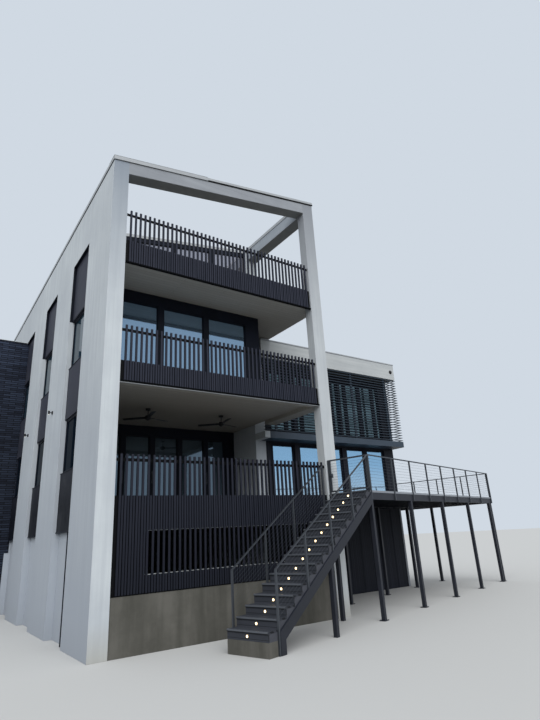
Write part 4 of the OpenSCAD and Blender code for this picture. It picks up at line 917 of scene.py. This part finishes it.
def roof_seams():
    """Standing seams of the sheet roofs, and a flashing round the wing's roof."""
    seam_t, seam_h, flashing_t = 0.022, 0.03, 0.012
    block_pitch, wing_pitch = 0.51, 0.5
    bars("block_roof_seams", [
        (inside((0.0, up_slope(FIN_W, POST_X)), 0.02),
         after(TERRACE_D + 0.65 + block_pitch * i, seam_t), after(-ROOF_DROP, seam_h))
        for i in range(21)
    ], ROOF, roof_place(FIN_W), rounding=0.006)
    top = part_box("wing_roof")[1].z
    x, y = inside((WING_X[0], WING_RIGHT), 0.2), inside((WING_FRONT, WING_BACK), 0.2)
    bars("wing_roof_seams", [
        (after(x[0] + 0.35 + wing_pitch * i, seam_t), inside(y, 0.02), after(top, seam_h))
        for i in range(12)
    ], ROOF, rounding=0.006)
    up = after(top, 0.15)
    bars("wing_roof_flashing", [
        (x, after(y[0], flashing_t), up), (x, before(y[1], flashing_t), up),
        (after(x[0], flashing_t), y, up), (before(x[1], flashing_t), y, up),
    ], COPING)


def movement_joints():
    """Fine joints at the floors' levels and between the bays, on the walls of the back and the
    right."""
    w, t, edge = 0.01, 0.003, 0.02
    bays, over_wing, right_end, back_end = (7.4, 11.2), 9.1, 13.0, 12.1
    back, right = after(BLOCK_D, t), after(BLOCK_W, t)
    joints = [((edge, BLOCK_W - edge), back, before(z, w)) for z in (FLOOR_2, FLOOR_3)]
    joints.append((before(BLOCK_W / 2, w), back, (edge, back_end)))
    joints.append((right, (TERRACE_D + edge, BLOCK_D - edge), before(FLOOR_3, w)))
    joints += [(right, after(y, w), (over_wing, right_end)) for y in bays]
    joints += [(right, after(bays[1], w), (edge, over_wing)),
               (right, (WING_BACK + w, BLOCK_D - edge), before(FLOOR_2, w))]
    bars("movement_joints", joints, EDGE_TRIM, rounding=0.001)


def deck_details():
    """A grey trim along the deck's edge, foot plates with their bolts and the cables' fittings."""
    trim = (FLOOR_1 - 0.055, FLOOR_1 + 0.002)
    bars("deck_edge_trim", [
        ((-0.008, DECK_L + 0.01), (-0.01, 0.0), trim), (after(DECK_L, 0.01), (0.0, DECK_D), trim),
        ((-0.008, 0.0), (0.0, GATE_Y[1] + 0.03), trim),
    ], EDGE_TRIM, deck_place())
    plate_t = 0.012
    feet = [(x, 0.0) for x in FRONT_POSTS]
    feet += [(x, MIDDLE_ROW_Y) for x in (*FRONT_POSTS[1:], CORNER_POSTS[0])]
    plates, bolts = [], bmesh.new()
    for x, y in feet:
        plates.append(((x - 0.05, x + 0.15), (y - 0.035, y + 0.15), (0.0, plate_t)))
        for dx in (-0.025, 0.125):
            for dy in (-0.017, 0.125):
                cut_disc(bolts, 0.012, 0.012, deck_place(at(x + dx, y + dy, plate_t)), 6)
    plates.append(((CORNER_POSTS[0] - 0.05, CORNER_POSTS[1] + 0.03), (-0.035, 0.15),
                   (0.0, plate_t)))
    bars("post_foot_plates", plates, DECK_STEEL, deck_place())
    piece("foot_plate_bolts", bolts, STEEL)
    length = 0.06
    fittings = bmesh.new()
    for i in range(1, CABLES + 1):
        z = FLOOR_1 + i * CABLE_PITCH
        ends = [at(x, -0.02, z) @ FACE_RIGHT for x in (GUARD_POST, DECK_L - length)]
        ends += [at(DECK_L + 0.02, y, z) @ FACE_BACK for y in (0.0, DECK_D - length)]
        for end in ends:
            cut_disc(fittings, 0.007, length, deck_place(end), 8)
    piece("cable_fittings", fittings, STEEL, smooth=True)


def stair_details():
    """Steel nosing strips, and a round lamp in a thin bezel in the middle of each riser."""
    across, t = (0.004, STAIR_W - 0.004), 0.003
    nosings, bezels, lenses = [], bmesh.new(), bmesh.new()
    for k in range(1, RISERS + 1):
        front, top = riser_x(k) - NOSING, tread_z(k)
        nosings.append(((front - t, front + 0.034), across, after(top, 0.004)))
        nosings.append((before(front, t), across, before(top, 0.026)))
        spot = deck_place(at(riser_x(k), STAIR_W / 2, top - 0.56 * RISE) @ FACE_LEFT)
        cut_disc(bezels, 0.034, 0.006, spot)
        cut_disc(lenses, 0.026, 0.009, spot)
    bars("tread_nosings", nosings, NOSINGS, deck_place(), rounding=0.001)
    piece("step_light_bezels", bezels, FRAMES)
    piece("step_light_lenses", lenses, WARM_LENS)


def gate_latch():
    """A latch case with a round knob on the stair's side of the gate, and on the deck's side a
    flat turn that clears the front rail when the gate stands open."""
    x, y, z = (-0.01, 0.05), GATE_Y[1] - 0.05, FLOOR_1 + 0.52
    shape = bmesh.new()
    cut_box(shape, (x[0], y - 0.035, z - 0.06), (x[1], y + 0.035, z + 0.06), deck_place())
    soften(shape, 0.004, 2)
    stem = at(x[0], y, z) @ FACE_LEFT
    cut_disc(shape, 0.009, 0.018, deck_place(stem), 12)
    cut_disc(shape, 0.02, 0.014, deck_place(stem @ at(0, 0, 0.018)), 20, 0.016)
    cut_disc(shape, 0.02, 0.005, deck_place(at(x[1], y, z) @ FACE_RIGHT), 20, 0.018)
    piece("gate_latch", shape, STEEL, "gate", smooth=True)


def wing_details():
    """Battens and a corner board on the wing's lowest wall, and the line under the fascia's cap."""
    up = (0.0, DECK_UNDER)
    bars("ground_wall_battens", [
        (after(WING_X[0] + 0.55 + 0.6 * i, 0.03), before(WING_Y[0], 0.01), up) for i in range(10)
    ], CLADDING)
    bars("wing_corner_board", [(before(WING_X[1], 0.09), before(WING_Y[0], 0.016), up)],
         EDGE_TRIM)
    t, gap = 0.006, before(FASCIA_Z[1], 0.016)
    bars("fascia_shadow_gap", [
        ((POST_X, WING_RIGHT + t), before(WING_FRONT, t), gap),
        (after(WING_RIGHT, t), (WING_FRONT, WING_BACK), gap),
    ], EDGE_TRIM)


def tower_flashing():
    """A pale folded edge along the tower's coping."""
    bars("tower_flashing", [
        ((TOWER_LEFT + 0.002, -0.002), (TOWER_FRONT_Y - 0.006, TOWER_FRONT_Y + 0.03),
         (TOWER_TOP - 0.014, TOWER_TOP + 0.006)),
    ], COPING)


def lamps():
    """Lenses of the recessed ceiling lamps and of the wall lights, and the dome light's rim."""
    rings, lenses, glows, rim = bmesh.new(), bmesh.new(), bmesh.new(), bmesh.new()
    for spot in CEILING_LAMPS:
        down = place(at(*spot) @ FACE_DOWN)
        cut_disc(rings, 0.06, 0.006, down)
        cut_disc(lenses, 0.045, 0.009, down)
    for y in WALL_LIGHT_YS:
        for turn, end in ((Matrix.Identity(4), WALL_LIGHT_R), (FACE_DOWN, -WALL_LIGHT_R)):
            mouth = place(at(-2 * WALL_LIGHT_R, y, WALL_LIGHT_Z + end) @ turn)
            cut_disc(glows, 0.021, 0.005, mouth)
    cut_disc(rim, 0.084, 0.008, place(at(*DOME) @ FACE_FRONT), 32)
    soften(rim, 0.002)
    piece("ceiling_light_rings", rings, SOFFIT)
    piece("ceiling_light_lenses", lenses, DULL_LENS)
    piece("wall_light_lenses", glows, PALE_LENS)
    piece("dome_light_rim", rim, FAN)


def fan_details():
    """A turned cap under each hub, irons under the blades' roots and a rim round the rod's
    cover."""
    rims = bmesh.new()
    for body, x in FAN_XS.items():
        shape = bmesh.new()
        centre = at(x, FAN_Y, BLADE_Z)
        for turn in BLADE_TURNS:
            blade = (centre @ Matrix.Rotation(math.radians(turn), 4, "Z")
                     @ Matrix.Rotation(BLADE_PITCH, 4, "X"))
            cut_box(shape, (0.06, -0.035, -0.012), (0.2, 0.035, -0.004), place(blade))
            for reach in (0.13, 0.18):
                stud = blade @ at(reach, 0, -0.012) @ FACE_DOWN
                cut_disc(shape, 0.008, 0.005, place(stud), 8)
        hub = centre @ at(0, 0, -0.052) @ FACE_DOWN
        cut_disc(shape, 0.066, 0.012, place(hub), 32, 0.06)
        cut_disc(shape, 0.045, 0.02, place(hub @ at(0, 0, 0.012)), 32, 0.022)
        piece(body + "_trim", shape, FAN, body, smooth=True)
        cut_disc(rims, 0.082, 0.008, place(at(x, FAN_Y, CEILING_1) @ FACE_DOWN), 32)
    piece("fan_cover_rims", rims, FAN)


coping_details()
beam_shade_linings()
screen_details()
strip_details()
glazing()
window_sills()
door_handles()
roof_seams()
movement_joints()
deck_details()
stair_details()
gate_latch()
wing_details()
tower_flashing()
lamps()
fan_details()

# Floor and light
FLOOR_HALF = 160.0
FLOOR_Z = -0.002
LAMP_POWER = 2.2
LAMP_SPREAD = math.radians(70)
LAMP_TURN = (math.radians(50), 0.0, math.radians(-28))


def seen_rays(tree):
    """One for the rays that show a surface to the camera, in a mirror or through glass."""
    rays = add(tree, "ShaderNodeLightPath")
    seen = add(tree, "ShaderNodeMath", {"operation": "MAXIMUM"},
               {0: rays.outputs["Is Camera Ray"], 1: rays.outputs["Is Glossy Ray"]})
    return add(tree, "ShaderNodeMath", {"operation": "MAXIMUM"},
               {0: seen.outputs["Value"], 1: rays.outputs["Is Transmission Ray"]}).outputs["Value"]


def floor():
    """A plain floor that is seen pale and throws little light back up."""
    shape = bmesh.new()
    bmesh.ops.create_grid(shape, x_segments=1, y_segments=1, size=FLOOR_HALF)
    mesh = bpy.data.meshes.new("floor")
    shape.to_mesh(mesh)
    shape.free()
    made = bpy.data.objects.new("floor", mesh)
    made.location = (0.0, 0.0, FLOOR_Z)
    bpy.context.scene.collection.objects.link(made)
    material, tree, _ = begin("pale studio floor")
    tone = add(tree, "ShaderNodeMix",
               {"data_type": "RGBA", 6: paint("#7b7b79"), 7: paint("#c4c4c2")},
               {0: seen_rays(tree)})
    close(tree, {"Roughness": 0.9, "Specular IOR Level": 0.0}, {"Base Color": tone.outputs[2]})
    mesh.materials.append(material)


def light():
    """An even pale glow all round that lights the house softly, seen as a plain pale backdrop,
    and a broad lamp high at the front left."""
    world = bpy.data.worlds.new("soft glow")
    bpy.context.scene.world = world
    world.use_nodes = True
    tree = world.node_tree
    tree.nodes.clear()
    glow = add(tree, "ShaderNodeBackground", {"Color": paint("#dfe5ec"), "Strength": 0.85})
    backdrop = add(tree, "ShaderNodeBackground", {"Color": paint("#d0d9e3"), "Strength": 1.0})
    mix = add(tree, "ShaderNodeMixShader", links={
        0: seen_rays(tree), 1: glow.outputs["Background"], 2: backdrop.outputs["Background"]})
    add(tree, "ShaderNodeOutputWorld", links={"Surface": mix.outputs["Shader"]})
    lamp = bpy.data.lights.new("broad lamp", "SUN")
    lamp.energy = LAMP_POWER
    lamp.angle = LAMP_SPREAD
    made = bpy.data.objects.new("broad lamp", lamp)
    made.rotation_euler = LAMP_TURN
    bpy.context.scene.collection.objects.link(made)


floor()
light()
bpy.context.scene.view_settings.view_transform = "Standard"
